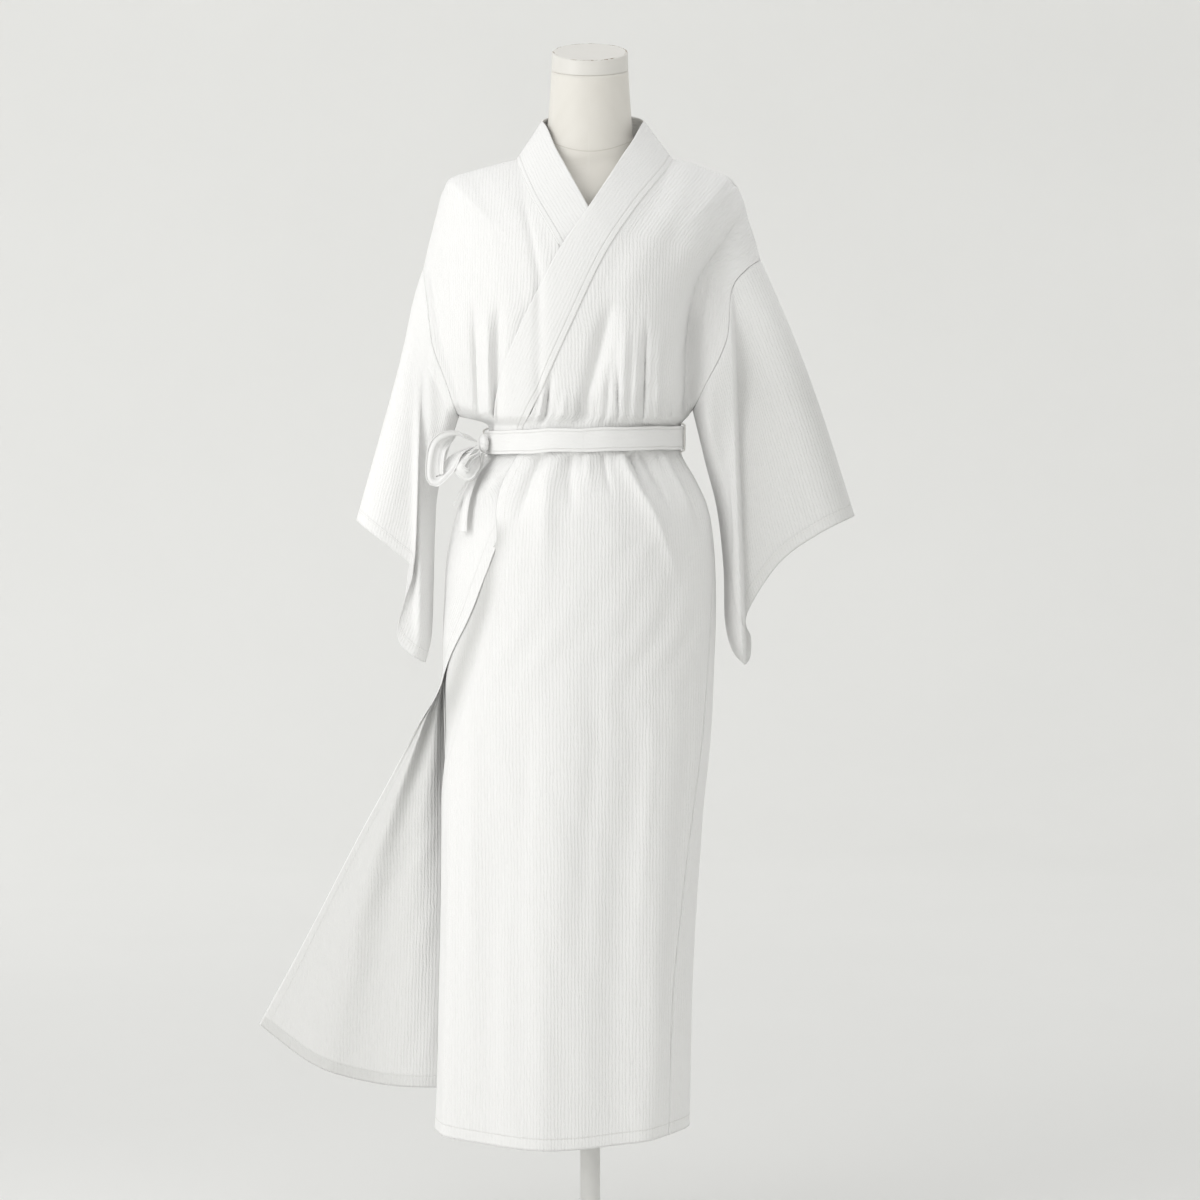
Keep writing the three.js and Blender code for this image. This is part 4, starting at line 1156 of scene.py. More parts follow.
def sleeve_grid(here):
    rows, turns = counts(SLEEVE_LENGTHS, SLEEVE_TURNS)
    edges = {"low": SLEEVE_BOTTOM[here], "high": SLEEVE_TOP[here],
             "near": ARMHOLE[here], "far": CUFF[here]}
    part = np.linspace(0, 1, turns + 1)[None, :]
    along = np.linspace(0, 1, rows + 1)[:, None]
    part, along = np.broadcast_arrays(part, along)
    height = (1 + np.cos(2 * np.pi * part)) / 2
    start = UNDERARM_TRIM * (1 - height) ** 6 - SEAM_LAP * height * (1 - height) * 4
    x, z = patch(edges, mix(start, 1, along), height)
    swing = SLEEVE_SWING * smooth(0, 0.35, along) * (1 - height)
    tuck = SEAM_TUCK * (1 - smooth(0, SEAM_TUCK_REACH, along))
    front = -depth_at(1, x, z) + swing + tuck
    behind = depth_at(-1, x, z) + swing - tuck
    return np.stack([x, np.where(part < 0.5, front, behind), z], axis=-1)


def sleeve_shade(here, grid):
    """The shade behind the long fold of the left sleeve's front. It fades toward the cuff."""
    if here == "right":
        return 0.0
    x, y, z = np.moveaxis(grid, -1, 0)
    part = (SLEEVE_STEP["top"] - z) / (SLEEVE_STEP["top"] - SLEEVE_STEP["bottom"])
    away = x - step_line(part)
    fading = np.exp(-np.maximum(away, 0) / FOLD_SHADE["reach"])
    shade = mix(FOLD_SHADE["far"], FOLD_SHADE["near"], fading)
    shown = smooth(*FOLD_SHADE["from"], away) * smooth(*FOLD_SHADE["top"], part)
    return shade * shown * (y < FOLD_SHADE["back"])


sleeve_grids = {here: sleeve_grid(here) for here in ("left", "right")}
for here, grid in sleeve_grids.items():
    along = run_of(grid)
    cloth(f"robe_sleeve_{here}", f"sleeve_{here}", grid, robe_cotton, hem=pair(along[-1:] - along),
          closed=True, shade=sleeve_shade(here, grid))

# %% [markdown]
# ## The neck band
# The collar is one long straight band, folded double and sewn over the edges of the fronts and the
# back of the neck. It lies flat on the chest and stands up behind the neck. Its rows follow
# the seam and the free edge together, so its ribs run along the band, as the cut does.
# The band thins to a fold at both edges, so its thickness is worked out for each point.

# %% Collar bands
COLLAR_WALL = 2.4
COLLAR_PROUD = 1.7
SEAM_PROUD = 1.0
COLLAR_RISE = 18
COLLAR_BACK = 76
NECK = {"x": 4, "half": 67, "z": 1556}
NECK_FROM = (1425, 1500)
BURIED_TO = (1330, 1420)
SEAM_CLEARANCE = {"low": 0.02, "high": -0.022, "levels": (1165, 1200)}
BAND_EDGE = 2.2
BAND_STITCH = 8.0
COLLAR_COLUMNS = 22
COLLAR_ROWS = 260
neck_at = read_table(["z", "depth"], [
    [1556, 0], [1545, 26], [1526, 50], [1509, 66], [1478, 88], [1435, 102],
])


def ring_depth(x, z):
    ring = ring_at(np.minimum(z, TIED_TOP))
    half, middle = ring_span(ring)
    across = np.clip((x - middle) / half, -1, 1)
    return ring["front"] * np.sqrt(1 - across * across)


def edge_columns(count):
    """Shares of a band's width that lie closer together near its two folded edges."""
    even = np.linspace(0, 1, count)
    return even - 0.12 * np.sin(2 * np.pi * even)


def collar_grid(here):
    rows, columns = counts(COLLAR_ROWS, COLLAR_COLUMNS)
    u, v = np.meshgrid(edge_columns(columns), np.linspace(0, 1, rows))
    seam, edge = COLLAR_SEAM[here], COLLAR_EDGE[here]
    seam_x, seam_z = seam.at(v)
    edge_x, edge_z = edge.at(v)
    raised = smooth(*SEAM_CLEARANCE["levels"], seam_z)
    clear = mix(SEAM_CLEARANCE["low"], SEAM_CLEARANCE["high"], raised)
    part = mix(clear, 1, u)
    x, z = mix(seam_x, edge_x, part), mix(seam_z, edge_z, part)
    chest = mix(ring_depth(x, z), depth_at(1, x, z), smooth(TIED_TOP, FREE_FROM, z))
    to_neck = mix(depth_at(1, seam_x, seam_z), neck_at(edge_z)["depth"], u)
    depth = mix(chest, to_neck, smooth(*NECK_FROM, edge_z))
    proud = mix(SEAM_PROUD * raised, COLLAR_PROUD, smooth(0, 0.4, u))
    if here == "right":
        buried = HIDDEN_DROP * mix(0.5, 1, smooth(0, 0.3, u)) * (1 - smooth(*BURIED_TO, z))
        proud = SEAM_PROUD * smooth(*BURIED_TO, z) - under_drop(depth) - buried
    return np.stack([x, -(depth + proud), z], axis=-1)


def back_collar_grid():
    rows, columns = counts(COLLAR_ROWS, COLLAR_COLUMNS)
    u, v = np.meshgrid(edge_columns(columns), np.linspace(0, 1, rows))
    x, z = BACK_NECK.at((1 - np.cos(np.pi * v)) / 2)
    seam = np.stack([x, depth_at(-1, x, z) + SEAM_PROUD * np.sin(np.pi * v), z], axis=-1)
    sine, cosine = np.sin(np.pi * v), np.cos(np.pi * v)
    top = np.stack([NECK["x"] + NECK["half"] * cosine, COLLAR_BACK * sine,
                    NECK["z"] + COLLAR_RISE * sine], axis=-1)
    return mix(seam, top, u[..., None])


def folded_thickness(grid, full, edge=BAND_EDGE):
    """The thickness of a doubled band at each point, which thins to a fold at both edges."""
    across = run_of(grid, axis=1)
    inward = np.minimum(across, across[:, -1:] - across)
    return full * (0.3 + 0.7 * quarter_round(inward / edge))


def band_hem(grid, distance, both=True):
    """A hem map that puts the drawn stitch line the given distance in from a band's edges."""
    across = run_of(grid, axis=1)
    shift = STITCH_LINE / MM - distance
    return pair(across + shift, across[:, -1:] - across + shift if both else FAR)


collar_cotton = cotton("collar_cotton", rib=0.6)
collar_grids = {here: collar_grid(here) for here in ("left", "right")}
collar_grids["back"] = back_collar_grid()
for here, grid in collar_grids.items():
    cloth(f"robe_collar_{here}", f"collar_{here}", grid, collar_cotton,
          hem=band_hem(grid, BAND_STITCH, False), thick=folded_thickness(grid, COLLAR_WALL))

# %% [markdown]
# ## The belt, its loops and the bow
# The belt is a narrow double band, stitched near both edges, that draws the robe in. A thread
# loop at each side seam carries it. It is tied in a small bow at the wearer's right hip. A band is
# easy to build as a grid: its middle line is a ring or a smooth curve, and its width lies across
# that line. The bow's loops are limp, so they get lengthwise creases and an uneven edge.

# %% Belt
BELT_HEIGHT = 31
BELT_WALL = 2
BELT_LIFT = 6.2
BELT_LEVEL = 1132.5
BELT_CLIMB = 3.5
BELT_STITCH = 4.0
BELT_TURNS = 300
BELT_COLUMNS = 22
BELT_SWELL = 0.7


def belt_level(turn):
    return BELT_LEVEL + BELT_CLIMB * np.sin(np.radians(turn))


def belt_grid():
    turns, columns = counts(BELT_TURNS, BELT_COLUMNS)
    across, turn = np.meshgrid(edge_columns(columns), np.linspace(0, 360, turns + 1))
    place = ring_point(turn, WAIST, BELT_LIFT)
    waves = slow_waves(turn * 2.3, across * BELT_HEIGHT, 1.0, 31)
    out = BELT_SWELL * np.sin(np.pi * across) * waves
    place = place + out[..., None] * np.stack(
        [np.sin(np.radians(turn)), -np.cos(np.radians(turn)), 0 * turn], axis=-1)
    place[..., 2] = belt_level(turn) + BELT_HEIGHT * (across - 0.5) + 0.5 * waves
    return place


def across_first(grid):
    """The same grid with its rows and columns swapped, so that the other side faces out."""
    return np.swapaxes(grid, 0, 1)


belt_cotton = cotton("belt_cotton", rib=0.5)
belt_rows = belt_grid()
cloth("robe_belt", "belt", across_first(belt_rows), belt_cotton, closed=True,
      hem=across_first(band_hem(belt_rows, BELT_STITCH)), grain=across_first(grain_of(belt_rows)),
      thick=across_first(folded_thickness(belt_rows, BELT_WALL)))

# %% Thread loops at the side seams
LOOP_HALF = 20
LOOP_ROOT = 2.4
LOOP_LIFT = 9
LOOP_STEPS = 60
LOOP_PLACES = {"left": 76, "right": -97}
CORD_RADIUS = 1.1
CORD_SIDES = 8
CORD_BULGE = 0.12
CORD_TWISTS = 9
NO_AXIS = [0.31, 0.17, 0.93]


def strand_grid(line):
    """A tube along a line of points, whose radius swells evenly as a plied thread's does."""
    along = unit(np.gradient(line, axis=0))
    side = unit(np.cross(along, NO_AXIS))
    up = np.cross(along, side)
    part = np.linspace(0, 1, len(line))[:, None]
    angle = np.linspace(0, 2 * np.pi, CORD_SIDES, endpoint=False)[None, :]
    reach = CORD_RADIUS * (1 + CORD_BULGE * np.sin(angle * 2 + 2 * np.pi * CORD_TWISTS * part))
    return (line[:, None] + reach[..., None] * (np.cos(angle)[..., None] * side[:, None]
                                                + np.sin(angle)[..., None] * up[:, None]))


def thread_loop(here, line):
    """A closed strand along a line, pointed at both ends."""
    points = np.concatenate([strand_grid(line).reshape(-1, 3), line[:1], line[-1:]])
    faces = ring_faces(len(line), CORD_SIDES)
    last = (len(line) - 1) * CORD_SIDES
    for column in range(CORD_SIDES):
        after = (column + 1) % CORD_SIDES
        faces.append((len(points) - 2, after, column))
        faces.append((len(points) - 1, last + column, last + after))
    maps = {"grain": points[:, [0, 2]] * MM}
    piece = mesh_from(f"belt_thread_{here}", points, faces, maps, thread)
    return settle(piece, f"belt_loop_{here}")


def thread_material(name, colour, shade):
    sheet = Sheet(name)
    grain = sheet.map("grain")
    twist = sheet.streaks(grain, 900, 2600)
    tone = sheet.blend(twist, shade, colour)
    return sheet.finish(Base_Color=tone, Roughness=0.8,
                        Normal=sheet.bump(twist, 0.5, 0.0003))


thread = thread_material("loop_thread", (0.86, 0.85, 0.82, 1), (0.74, 0.73, 0.69, 1))
for here, turn in LOOP_PLACES.items():
    part = np.linspace(0, 1, LOOP_STEPS)
    level = belt_level(turn) + LOOP_HALF * (2 * part - 1)
    out = mix(LOOP_ROOT, LOOP_LIFT, plateau((0, 0.1), (0.9, 1), part))
    seat = np.where(part < 0.5, np.minimum(level, WAIST), level)
    line = ring_point(turn, seat, out)
    line[:, 2] = level
    thread_loop(here, line)
print("thread loops stand", LOOP_LIFT, "mm off the waist")

# %% [markdown]
# The knot is where the band wraps over itself. It is one closed form: an egg whose surface carries
# two crossing wraps of band with a groove between, deep enough to be seen at arm's length.

# %% Knot
KNOT_ANGLE = -69
KNOT_LIFT = 16
KNOT_SIZE = (10, 6.5, 12.5)
KNOT_ROWS = 60
KNOT_COLUMNS = 72
KNOT_GROOVE = 0.1
KNOT_WRAPS = ((0.35, 4.2), (-0.75, 2.6))
KNOT_CREASE = {"depth": 0.03, "count": 9, "lean": 0.4}


def knot_points():
    rows, columns = counts(KNOT_ROWS, KNOT_COLUMNS)
    up = np.linspace(0, np.pi, rows)[:, None]
    turn = np.linspace(0, 2 * np.pi, columns, endpoint=False)[None, :]
    x, y, z = np.sin(up) * np.cos(turn), np.sin(up) * np.sin(turn), np.cos(up) + 0 * turn
    wraps = 1.0
    for lean, spread in KNOT_WRAPS:
        wraps = wraps - KNOT_GROOVE * np.exp(-((z + lean * x) * spread) ** 2 * 3)
    creases = np.abs(np.sin(KNOT_CREASE["count"] * (z - KNOT_CREASE["lean"] * x)))
    wraps = wraps - KNOT_CREASE["depth"] * creases
    x, y, z = np.stack([x, y, z]) * wraps * np.array(KNOT_SIZE)[:, None, None]
    sine, cosine = np.sin(np.radians(KNOT_ANGLE)), np.cos(np.radians(KNOT_ANGLE))
    turned = np.stack([x * cosine - y * sine, x * sine + y * cosine, z], axis=-1)
    centre = ring_point(KNOT_ANGLE, WAIST, KNOT_LIFT)
    centre[2] = belt_level(KNOT_ANGLE) - 1
    return turned + centre


def closed_rings(name, rings, material, node, hem=FAR):
    """A closed body from rings of points, from its lowest ring to its highest."""
    rows, columns = rings.shape[:2]
    faces = ring_faces(rows, columns)
    faces.append(tuple(range(columns - 1, -1, -1)))
    faces.append(tuple(range((rows - 1) * columns, rows * columns)))
    none = np.zeros((rows, columns))
    maps = {"grain": grain_of(rings) * MM, "hem": pair(none + hem) * MM, "sheer": pair(none, 0.0)}
    maps = {label: values.reshape(-1, 2) for label, values in maps.items()}
    print(name, "faces:", len(faces))
    settle(mesh_from(name, rings.reshape(-1, 3), faces, maps, material), node)


tie_cotton = cotton("tie_cotton", rib=0.7)
closed_rings("robe_knot", knot_points()[1:-1][::-1], tie_cotton, "belt_knot")

# %% Bow loops and tie ends
BAND_WALL = 0.7
PINCHED = 0.3
PINCH_PART = 0.22
BAND_ROWS = 110
BAND_COLUMNS = 20
TURNED_OUT = ((0.05, 0.35), (0.7, 0.97))
CRUMPLE = 1.5
CRUMPLED = ((0, 0.08), (0.92, 1))
BAND_FOLD = 1.0
TIE_STITCH = 2.5
BOW_LOOPS = {
    "upper": {"width": 24, "across": (0.35, 1, 0.2), "twist": 62, "seed": 41, "line": [
        [-149.6, -46.5, 1131], [-176, -60, 1140], [-200, -66, 1124], [-204, -66, 1084],
        [-190, -64, 1092], [-172, -57, 1114], [-150.1, -46.6, 1125]]},
    "lower": {"width": 20, "across": (0.2, 1, -0.1), "twist": -55, "seed": 42, "line": [
        [-147.2, -45.5, 1119.6], [-164, -63, 1112], [-172, -72, 1098], [-162, -72, 1088],
        [-155, -66, 1096], [-145.6, -44.9, 1115.8]]},
}
TIE_TOP = 1115
TIE_COLUMNS = ["z", "turn", "width", "lift"]
TIE_ENDS = {
    "front": [[TIE_TOP, -67.2, 3, KNOT_LIFT], [1102, -67.4, 5, 10], [1085, -68, 7, 7],
              [1045, -64, 7, 7], [1012, -60, 7, 7]],
    "back": [[TIE_TOP, -70.4, 3, KNOT_LIFT], [1102, -74, 5, 10], [1087, -76, 7, 7],
             [1062, -80, 7, 7], [1045, -84, 7, 7]],
}


def bow_grid(width, across, twist, seed, line):
    """A limp band along a line. It leaves the knot on edge and turns its face out on the way."""
    rows, columns = counts(BAND_ROWS, BAND_COLUMNS)
    line = np.array(line, float)
    middle = even_curve(line, 2 * line[0] - line[1], 2 * line[-1] - line[-2], rows)
    ahead = unit(np.gradient(middle, axis=0))
    side = unit(np.array(across, float))
    side = unit(side - ahead * (ahead @ side)[:, None])
    u, v = np.meshgrid(edge_columns(columns) - 0.5, np.linspace(0, 1, rows))
    turned = np.radians(twist) * plateau(*TURNED_OUT, v)[:, :1]
    side = (side * np.cos(turned) + np.cross(ahead, side) * np.sin(turned))[:, None]
    opened = plateau((0, PINCH_PART), (1 - PINCH_PART, 1), v)
    wide = width * mix(PINCHED, 1, opened)
    grid = middle[:, None] + side * (wide * u)[..., None]
    dice = np.random.default_rng(seed)
    crumple = np.zeros(u.shape)
    for count in (1, 2, 3, 4):
        start, drift = dice.uniform(0, 2 * np.pi), dice.uniform(-4, 4)
        crumple += np.sin(2 * np.pi * count * u * 1.4 + start + drift * v) / count
    move = CRUMPLE * crumple * plateau(*CRUMPLED, v)
    return grid + normals_of(grid) * move[..., None]


def tie_grid(rows_of):
    rows, columns = counts(BAND_ROWS, BAND_COLUMNS)
    tie_at = read_table(TIE_COLUMNS, rows_of)
    u, v = np.meshgrid(edge_columns(columns) - 0.5, np.linspace(0, 1, rows))
    z = mix(TIE_TOP, rows_of[-1][0], v)
    tie = tie_at(z)
    crease = 0.5 * np.sin(2 * np.pi * (u * 1.3 + 0.4 * v)) * smooth(0.1, 0.4, v)
    return ring_point(tie["turn"] + tie["width"] * u, z, tie["lift"] + crease)


bands = {f"bow_{here}": (f"bow_loop_{here}", bow_grid(**loop))
         for here, loop in BOW_LOOPS.items()}
bands |= {f"tie_{here}": (f"tie_end_{here}", tie_grid(rows)) for here, rows in TIE_ENDS.items()}
for name, (node, grid) in bands.items():
    cloth(f"robe_{name}", node, grid, tie_cotton, hem=band_hem(grid, TIE_STITCH),
          thick=folded_thickness(grid, BAND_WALL, BAND_FOLD))

# %% [markdown]
# ## Sewing that shows
# Rows of white machine stitches hold the neck band, the belt's edges and the hems. Each stitch is
# a small spindle of thread, thicker in its middle, that sinks into the cloth at both ends. All
# spindles of a line are worked out together, as arrays, and joined in one mesh: that is far
# quicker than one object for each stitch.

# %% Stitches along a line
STITCH_PITCH = 3.1
STITCH_LENGTH = 2.3
STITCH_RADIUS = 0.27
STITCH_SIDES = 5
STITCH_RINGS = ((0.1, 0.6), (0.5, 1.0), (0.9, 0.6))
STITCH_LIFT = 0.05
SEAM_STITCH = 1.6
CUFF_STITCH = 12.8
ROBE_AXIS = (-5.0, 5.0, 0.0)


def line_in(grid, distance, from_far=False, by_rows=False):
    """Points at a distance in from one edge of a grid, one for each of its rows or columns."""
    grid = np.swapaxes(grid, 0, 1) if by_rows else grid
    grid = grid[:, ::-1] if from_far else grid
    run = run_of(grid, axis=1)
    found = [sampled(np.hstack(row), along, distance)
             for *row, along in zip(grid, normals_of(grid), run)]
    return np.split(np.array(found), 2, axis=1)


def outward(places, facing):
    """Turns normals so that they point away from the robe's upright axis."""
    radial = (places - ROBE_AXIS) * (1, 1, 0)
    sign = np.where(np.sum(facing * radial, axis=1) < 0, -1.0, 1.0)
    return facing * sign[:, None]


def spindles(places, facing, lift):
    """Points and faces of a row of stitches along a line of points."""
    run = run_of(places)
    centres = np.arange(STITCH_PITCH, run[-1] - STITCH_PITCH, STITCH_PITCH)
    ahead = unit(sampled(places, run, centres + 0.5) - sampled(places, run, centres - 0.5))
    up = sampled(facing, run, centres)
    up = unit(up - ahead * np.sum(up * ahead, axis=1, keepdims=True))
    side = np.cross(ahead, up)
    middle = sampled(places, run, centres) + up * lift
    points = [middle - ahead * STITCH_LENGTH / 2 - up * STITCH_RADIUS]
    for part, wide in STITCH_RINGS:
        for angle in np.linspace(0, 2 * np.pi, STITCH_SIDES, endpoint=False):
            round_to = side * np.cos(angle) + up * np.sin(angle)
            points.append(middle + ahead * STITCH_LENGTH * (part - 0.5)
                          + round_to * STITCH_RADIUS * wide - up * STITCH_RADIUS * (1 - wide))
    points.append(middle + ahead * STITCH_LENGTH / 2 - up * STITCH_RADIUS)
    points = np.stack(points, axis=1)
    count = points.shape[1]
    faces = []
    for side_at in range(STITCH_SIDES):
        after = (side_at + 1) % STITCH_SIDES
        faces.append((0, 1 + after, 1 + side_at))
        for ring in range(len(STITCH_RINGS) - 1):
            low, high = 1 + ring * STITCH_SIDES, 1 + (ring + 1) * STITCH_SIDES
            faces.append((low + side_at, low + after, high + after, high + side_at))
        last = 1 + (len(STITCH_RINGS) - 1) * STITCH_SIDES
        faces.append((count - 1, last + side_at, last + after))
    starts = np.arange(len(points)) * count
    joined = [tuple(int(start + index) for index in face) for start in starts for face in faces]
    return points.reshape(-1, 3), joined


def sew(name, lines, wall):
    """One mesh of stitches for several lines, on cloth as thick as wall."""
    points, faces = [], []
    for places, facing in lines:
        made, joined = spindles(places, outward(places, facing), wall / 2 + STITCH_LIFT)
        start = sum(len(group) for group in points)
        points.append(made)
        faces.extend(tuple(index + start for index in face) for face in joined)
    points = np.concatenate(points)
    maps = {"grain": np.stack([points[:, 0] + points[:, 1], points[:, 2]], axis=1) * MM}
    settle(mesh_from(name, points, faces, maps, sewing_thread), None)
    print(name, "stitches:", len(faces) // (STITCH_SIDES * 4))


sewing_thread = thread_material("sewing_thread", (0.83, 0.82, 0.80, 1), (0.70, 0.69, 0.66, 1))
collar_lines = [line_in(grid, distance) for grid in collar_grids.values()
                for distance in (SEAM_STITCH, BAND_STITCH)]
sew("stitches_collar", collar_lines, COLLAR_WALL)
sew("stitches_belt", [line_in(belt_rows, BELT_STITCH), line_in(belt_rows, BELT_STITCH, True)],
    BELT_WALL)
sew("stitches_hem", [line_in(grid, STITCH_LINE / MM, by_rows=True)
                     for grid in (left_grid, back_grid)], CLOTH)
edge_places, edge_facing = line_in(left_grid, FREE_EDGE_STITCH)
shown = (edge_places[:, 2] < BELT_LOW + 4) & (edge_places[:, 2] > TUCK_TOP[1])
sew("stitches_front_edge", [(edge_places[shown], edge_facing[shown])], CLOTH)
for here, grid in sleeve_grids.items():
    places, _ = line_in(grid, CUFF_STITCH, True, by_rows=True)
    places = places[:len(places) // 2]
    sew(f"stitches_cuff_{here}", [(places, np.tile([0.0, -1.0, 0.0], (len(places), 1)))], CLOTH)

# %% [markdown]
# ## The dress form and its stand
# The robe stands on a limbless form: a smooth padded body in a cream satin cover, closed at the
# neck with a cut, painted cap whose rim is chipped. The body is a stack of ovals from one
# table. The fine seam at the neck's base and the chips along the rim are drawn by the
# materials, from a map that holds the distance to each of them.

# %% Form body and cap
FORM_ROWS = 190
FORM_TURNS = 128
POLE_TOP = 831
NECK_TOP = 1624
CAP_HEIGHT = 24
CAP_FOOT = ((50.4, 0.3), (51.0, 1.1))
CAP_TAPER = 0.8
CAP_ROUND = 1.5
CAP_SIDE_ROWS = 20
CAP_ROUND_ROWS = 6
CAP_TOP_ROWS = 26
NECK_TILT = np.tan(np.radians(15))
CAP_TILT = np.tan(np.radians(19))
SHOULDER_POWER = 1.3
SHOULDER_LEVELS = ((1400, 1450), (1500, 1528))
SEAM_FRONT = 1511
SEAM_CLIMB = 15
NECK_HALF = 52
form_at = read_table(["z", "half", "front", "back", "tilt"], [
    [NECK_TOP, 51, 51, 51, 1],
    [1590, 53, 53, 53, 0.6],
    [1552, 56, 56, 56, 0.2],
    [1528, 59, 59, 60, 0],
    [1510, 74, 62, 62, 0],
    [1496, 100, 62, 64, 0],
    [1478, 138, 68, 68, 0],
    [1450, 160, 80, 78, 0],
    [1400, 158, 88, 84, 0],
    [1330, 124, 98, 84, 0],
    [1250, 108, 86, 78, 0],
    [1160, 96, 76, 72, 0],
    [1120, 98, 76, 76, 0],
    [1040, 122, 86, 92, 0],
    [960, 136, 92, 102, 0],
    [880, 138, 92, 102, 0],
    [POLE_TOP, 130, 86, 96, 0],
])


def form_rings():
    rows, turns = counts(FORM_ROWS, FORM_TURNS)
    levels = np.linspace(POLE_TOP, NECK_TOP, rows)
    z, turn = np.meshgrid(levels, np.linspace(0, 2 * np.pi, turns, endpoint=False), indexing="ij")
    size = form_at(z)
    cosine = np.cos(turn)
    power = mix(1, SHOULDER_POWER, plateau(*SHOULDER_LEVELS, z))
    deep = np.where(cosine > 0, size["front"], size["back"])
    y = -deep * np.sign(cosine) * np.abs(cosine) ** power
    return np.stack([size["half"] * np.sin(turn), y, z + NECK_TILT * size["tilt"] * y], axis=-1)


def cap_rings():
    _, turns = counts(FORM_ROWS, FORM_TURNS)
    turn = np.linspace(0, 2 * np.pi, turns, endpoint=False)
    rows = [[radius, NECK_TOP + rise, NECK_TILT] for radius, rise in CAP_FOOT]
    low_radius, low, _ = rows[-1]
    top = NECK_TOP + CAP_HEIGHT
    inner = low_radius - CAP_TAPER - CAP_ROUND
    rows += [[low_radius - CAP_TAPER * part, mix(low, top - CAP_ROUND, part),
              mix(NECK_TILT, CAP_TILT, part)] for part in np.linspace(0.06, 1, CAP_SIDE_ROWS)]
    rows += [[inner + CAP_ROUND * np.cos(b), top - CAP_ROUND + CAP_ROUND * np.sin(b), CAP_TILT]
             for b in np.linspace(0, np.pi / 2, CAP_ROUND_ROWS + 1)[1:]]
    rows += [[inner * part, top, CAP_TILT] for part in np.linspace(0.96, 0.02, CAP_TOP_ROWS)]
    rings = []
    for radius, z, slope in rows:
        y = -radius * np.cos(turn)
        rings.append(np.stack([radius * np.sin(turn), y, z + slope * y], axis=-1))
    return np.array(rings)


def seam_distance(rings):
    """How far each point is above the seam at the neck's base."""
    out = np.minimum(np.abs(rings[..., 0]), NECK_HALF) / NECK_HALF
    return rings[..., 2] - (SEAM_FRONT + SEAM_CLIMB * out**2)


def rim_distance(rings):
    """How far each point is from the cap's rim, along its surface."""
    along = run_of(rings)
    return along - along[len(CAP_FOOT) + CAP_SIDE_ROWS + CAP_ROUND_ROWS - 1]


def form_cover():
    """Cream satin over padding: a fine weave, soft yellowing, and one seam line."""
    sheet = Sheet("form_cover")
    grain = sheet.map("grain")
    away, _ = sheet.coordinates("hem")
    seam = 1 - (away.absolute() / 0.0009).least(1.0)
    weave = sheet.streaks(grain, 2600, 1300)
    puckers = sheet.streaks(grain, 420, 60)
    near = 1 - (away.absolute() / 0.006).least(1.0)
    aged = sheet.noise(grain, 14.0, 4.0)
    colour = sheet.blend(aged.step(0.3, 0.8) * 0.6, (0.80, 0.775, 0.72, 1), (0.74, 0.71, 0.65, 1))
    colour = sheet.blend(seam * 0.55, colour, (0.52, 0.48, 0.41, 1))
    height = weave * 0.35 - seam * 1.5 + puckers * near * 1.2
    return sheet.finish(Base_Color=colour, Roughness=0.52 + (weave - 0.5) * 0.2,
                        Normal=sheet.bump(height, 0.5, 0.0005), Sheen_Weight=0.12)


def cap_paint():
    """Cream paint on wood, worn to brown chips along the rim."""
    sheet = Sheet("cap_paint")
    grain = sheet.map("grain")
    away, _ = sheet.coordinates("hem")
    rim = 1 - (away.absolute() / 0.0021).least(1.0)
    chips = sheet.streaks(grain, 120, 330, 3.0, 0.65)
    patchy = sheet.noise(grain, 34.0, 1.0)
    chipped = chips.step(0.48, 0.56) * patchy.step(0.42, 0.54) * rim.step(0.05, 0.6)
    brush = sheet.streaks(grain, 900, 120, 3.0)
    cloudy = sheet.noise(grain, 22.0, 3.0)
    paint = sheet.blend(cloudy, (0.80, 0.785, 0.745, 1), (0.755, 0.735, 0.69, 1))
    colour = sheet.blend(chipped, paint, (0.27, 0.18, 0.11, 1))
    height = brush * 0.25 - chipped * 1.6
    return sheet.finish(Base_Color=colour, Roughness=0.45 + chipped * 0.35,
                        Normal=sheet.bump(height, 0.6, 0.0005), Coat_Weight=0.08)


form = form_rings()
closed_rings("form_padding", form, form_cover(), "form_body", seam_distance(form))
cap = cap_rings()
closed_rings("form_cap", cap, cap_paint(), "neck_cap", rim_distance(cap))

# %% [markdown]
# A steel pole carries the form on a heavy round foot. Both are turned shapes: one profile spun
# round an axis. The enamel on them is satin, with a fine orange-peel surface and light wear.

# %% Pole and foot
FOOT_RADIUS = 165
FOOT_HEIGHT = 14
SOCKET_RADIUS = 24
SOCKET_HEIGHT = 60
POLE_RADIUS = 13.5
POLE_FOOT = 63.3
SPIN_TURNS = 96
CORE = 0.5
SOLE_EDGE = 5
ENAMEL = (0.78, 0.775, 0.755, 1)
ENAMEL_WORN = (0.70, 0.695, 0.675, 1)


def rounded_profile(corners, radius=1.6, steps=5):
    """A profile of straight lines with each inner corner rounded over."""
    corners = np.array(corners, float)
    places = [corners[0]]
    for before, corner, after in zip(corners, corners[1:], corners[2:]):
        back, on = before - corner, after - corner
        reach = min(radius, np.linalg.norm(back) / 2, np.linalg.norm(on) / 2)
        start, end = corner + unit(back) * reach, corner + unit(on) * reach
        for t in np.linspace(0, 1, steps):
            places.append((1 - t) ** 2 * start + 2 * t * (1 - t) * corner + t * t * end)
    places.append(corners[-1])
    return places


def spun(profile):
    _, turns = counts(SPIN_TURNS, SPIN_TURNS)
    turn = np.linspace(0, 2 * np.pi, turns, endpoint=False)
    return np.array([np.stack([r * np.sin(turn), -r * np.cos(turn), z + 0 * turn], axis=-1)
                     for r, z in profile])


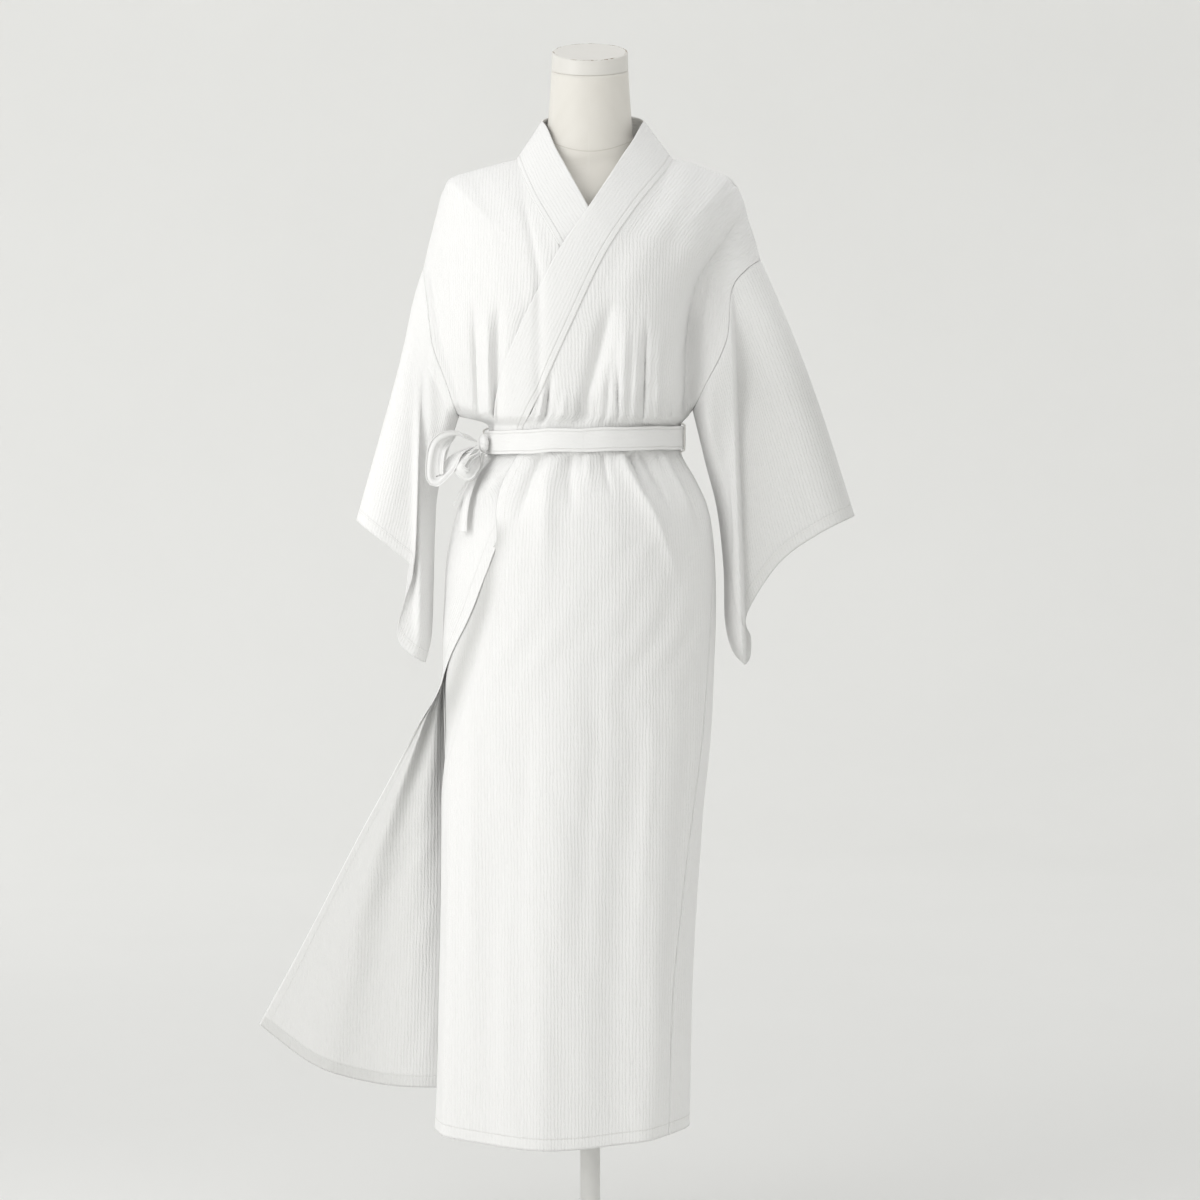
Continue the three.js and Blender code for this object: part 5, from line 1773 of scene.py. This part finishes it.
def enamel():
    sheet = Sheet("stand_enamel")
    grain = sheet.map("grain")
    peel = sheet.noise(grain, 700.0, 2.0)
    worn = sheet.noise(grain, 26.0, 4.0)
    colour = sheet.blend(worn.step(0.4, 0.75) * 0.5, ENAMEL, ENAMEL_WORN)
    return sheet.finish(Base_Color=colour, Roughness=0.36 + (worn - 0.5) * 0.2,
                        Normal=sheet.bump(peel, 0.25, 0.0003), Metallic=0.15)


stand_enamel = enamel()
foot = spun(rounded_profile([
    [CORE, 0], [FOOT_RADIUS, 0], [FOOT_RADIUS, SOLE_EDGE], [FOOT_RADIUS - 8, FOOT_HEIGHT - 2],
    [SOCKET_RADIUS + 8, FOOT_HEIGHT], [SOCKET_RADIUS, FOOT_HEIGHT + 8],
    [SOCKET_RADIUS, SOCKET_HEIGHT], [SOCKET_RADIUS - 4, SOCKET_HEIGHT + 3],
    [CORE, SOCKET_HEIGHT + 3],
]))
pole_end = POLE_TOP - 0.3
pole = spun(rounded_profile([
    [CORE, POLE_FOOT], [POLE_RADIUS, POLE_FOOT], [POLE_RADIUS, pole_end], [CORE, pole_end],
], 0.8))
closed_rings("stand_foot", foot, stand_enamel, "foot")
closed_rings("stand_pole", pole, stand_enamel, "pole")

# %% [markdown]
# ## What each piece of cloth was cut to
# A panel is shaped at the neck, the shoulder and the side, so its area is less than its width times
# length.

# %% [markdown]
# ## Floor and light
# The photograph has a plain, pale studio. One round floor turns up softly at its rim, so that
# no horizon shows from any side. Light comes from a soft source at the front left and from a
# pale sky. Two more lights wash over the wall behind and don't reach the robe's front.

# %% Stage and lights
FLOOR_RADIUS = 7.5
FLOOR_TURN = 2.5
WALL_HEIGHT = 5.0
FLOOR_SIDES = 96
FLOOR_CENTRE = 0.02
FLOOR_BEND_ROWS = 16


def add_floor():
    bend = np.linspace(0, np.pi / 2, FLOOR_BEND_ROWS)
    turned = FLOOR_RADIUS - FLOOR_TURN + FLOOR_TURN * np.sin(bend)
    radii = [FLOOR_CENTRE, *turned, FLOOR_RADIUS]
    heights = [0.0, *FLOOR_TURN * (1 - np.cos(bend)), WALL_HEIGHT]
    turns = np.linspace(0, 2 * np.pi, FLOOR_SIDES, endpoint=False)
    points = [(r * np.cos(t), r * np.sin(t), z) for r, z in zip(radii, heights) for t in turns]
    floor = mesh_from("floor", np.array(points) / MM, ring_faces(len(radii), FLOOR_SIDES))
    sheet = Sheet("floor_paint")
    place = sheet.node("ShaderNodeNewGeometry")
    mottle = sheet.noise(place, 1.3, 3.0)
    colour = sheet.blend(mottle, (0.80, 0.80, 0.785, 1), (0.83, 0.83, 0.815, 1))
    floor.data.materials.append(sheet.finish(Base_Color=colour, Roughness=0.95))


def add_light(name, place, aim, size, power):
    data = bpy.data.lights.new(name, "AREA")
    data.shape = "ELLIPSE"
    data.size, data.size_y = size
    data.energy = power
    light = bpy.data.objects.new(name, data)
    bpy.context.scene.collection.objects.link(light)
    light.location = place
    light.rotation_euler = (Vector(aim) - Vector(place)).to_track_quat("-Z", "Y").to_euler()
    light.visible_camera = False


# name, place, aim, width and height, watts
LIGHTS = [
    ["key", (-1.5, -1.25, 1.35), (-0.34, 0, 1.0), (1.2, 2.4), 17],
    ["wall_wash", (-4.6, 2.6, 2.8), (-3.4, 6.4, 1.6), (2.4, 2.4), 38],
    ["top_wash", (-0.5, 3.4, 4.6), (0.0, 7.2, 2.4), (3.0, 1.2), 22],
]
SKY_COLOUR = (0.99, 0.99, 0.985, 1)
SKY_POWER = 0.90

add_floor()
for row in LIGHTS:
    add_light(*row)
world = bpy.data.worlds.new("sky")
world.use_nodes = True
world.node_tree.nodes["Background"].inputs[0].default_value = SKY_COLOUR
world.node_tree.nodes["Background"].inputs[1].default_value = SKY_POWER
bpy.context.scene.world = world
bpy.context.scene.view_settings.view_transform = "Standard"
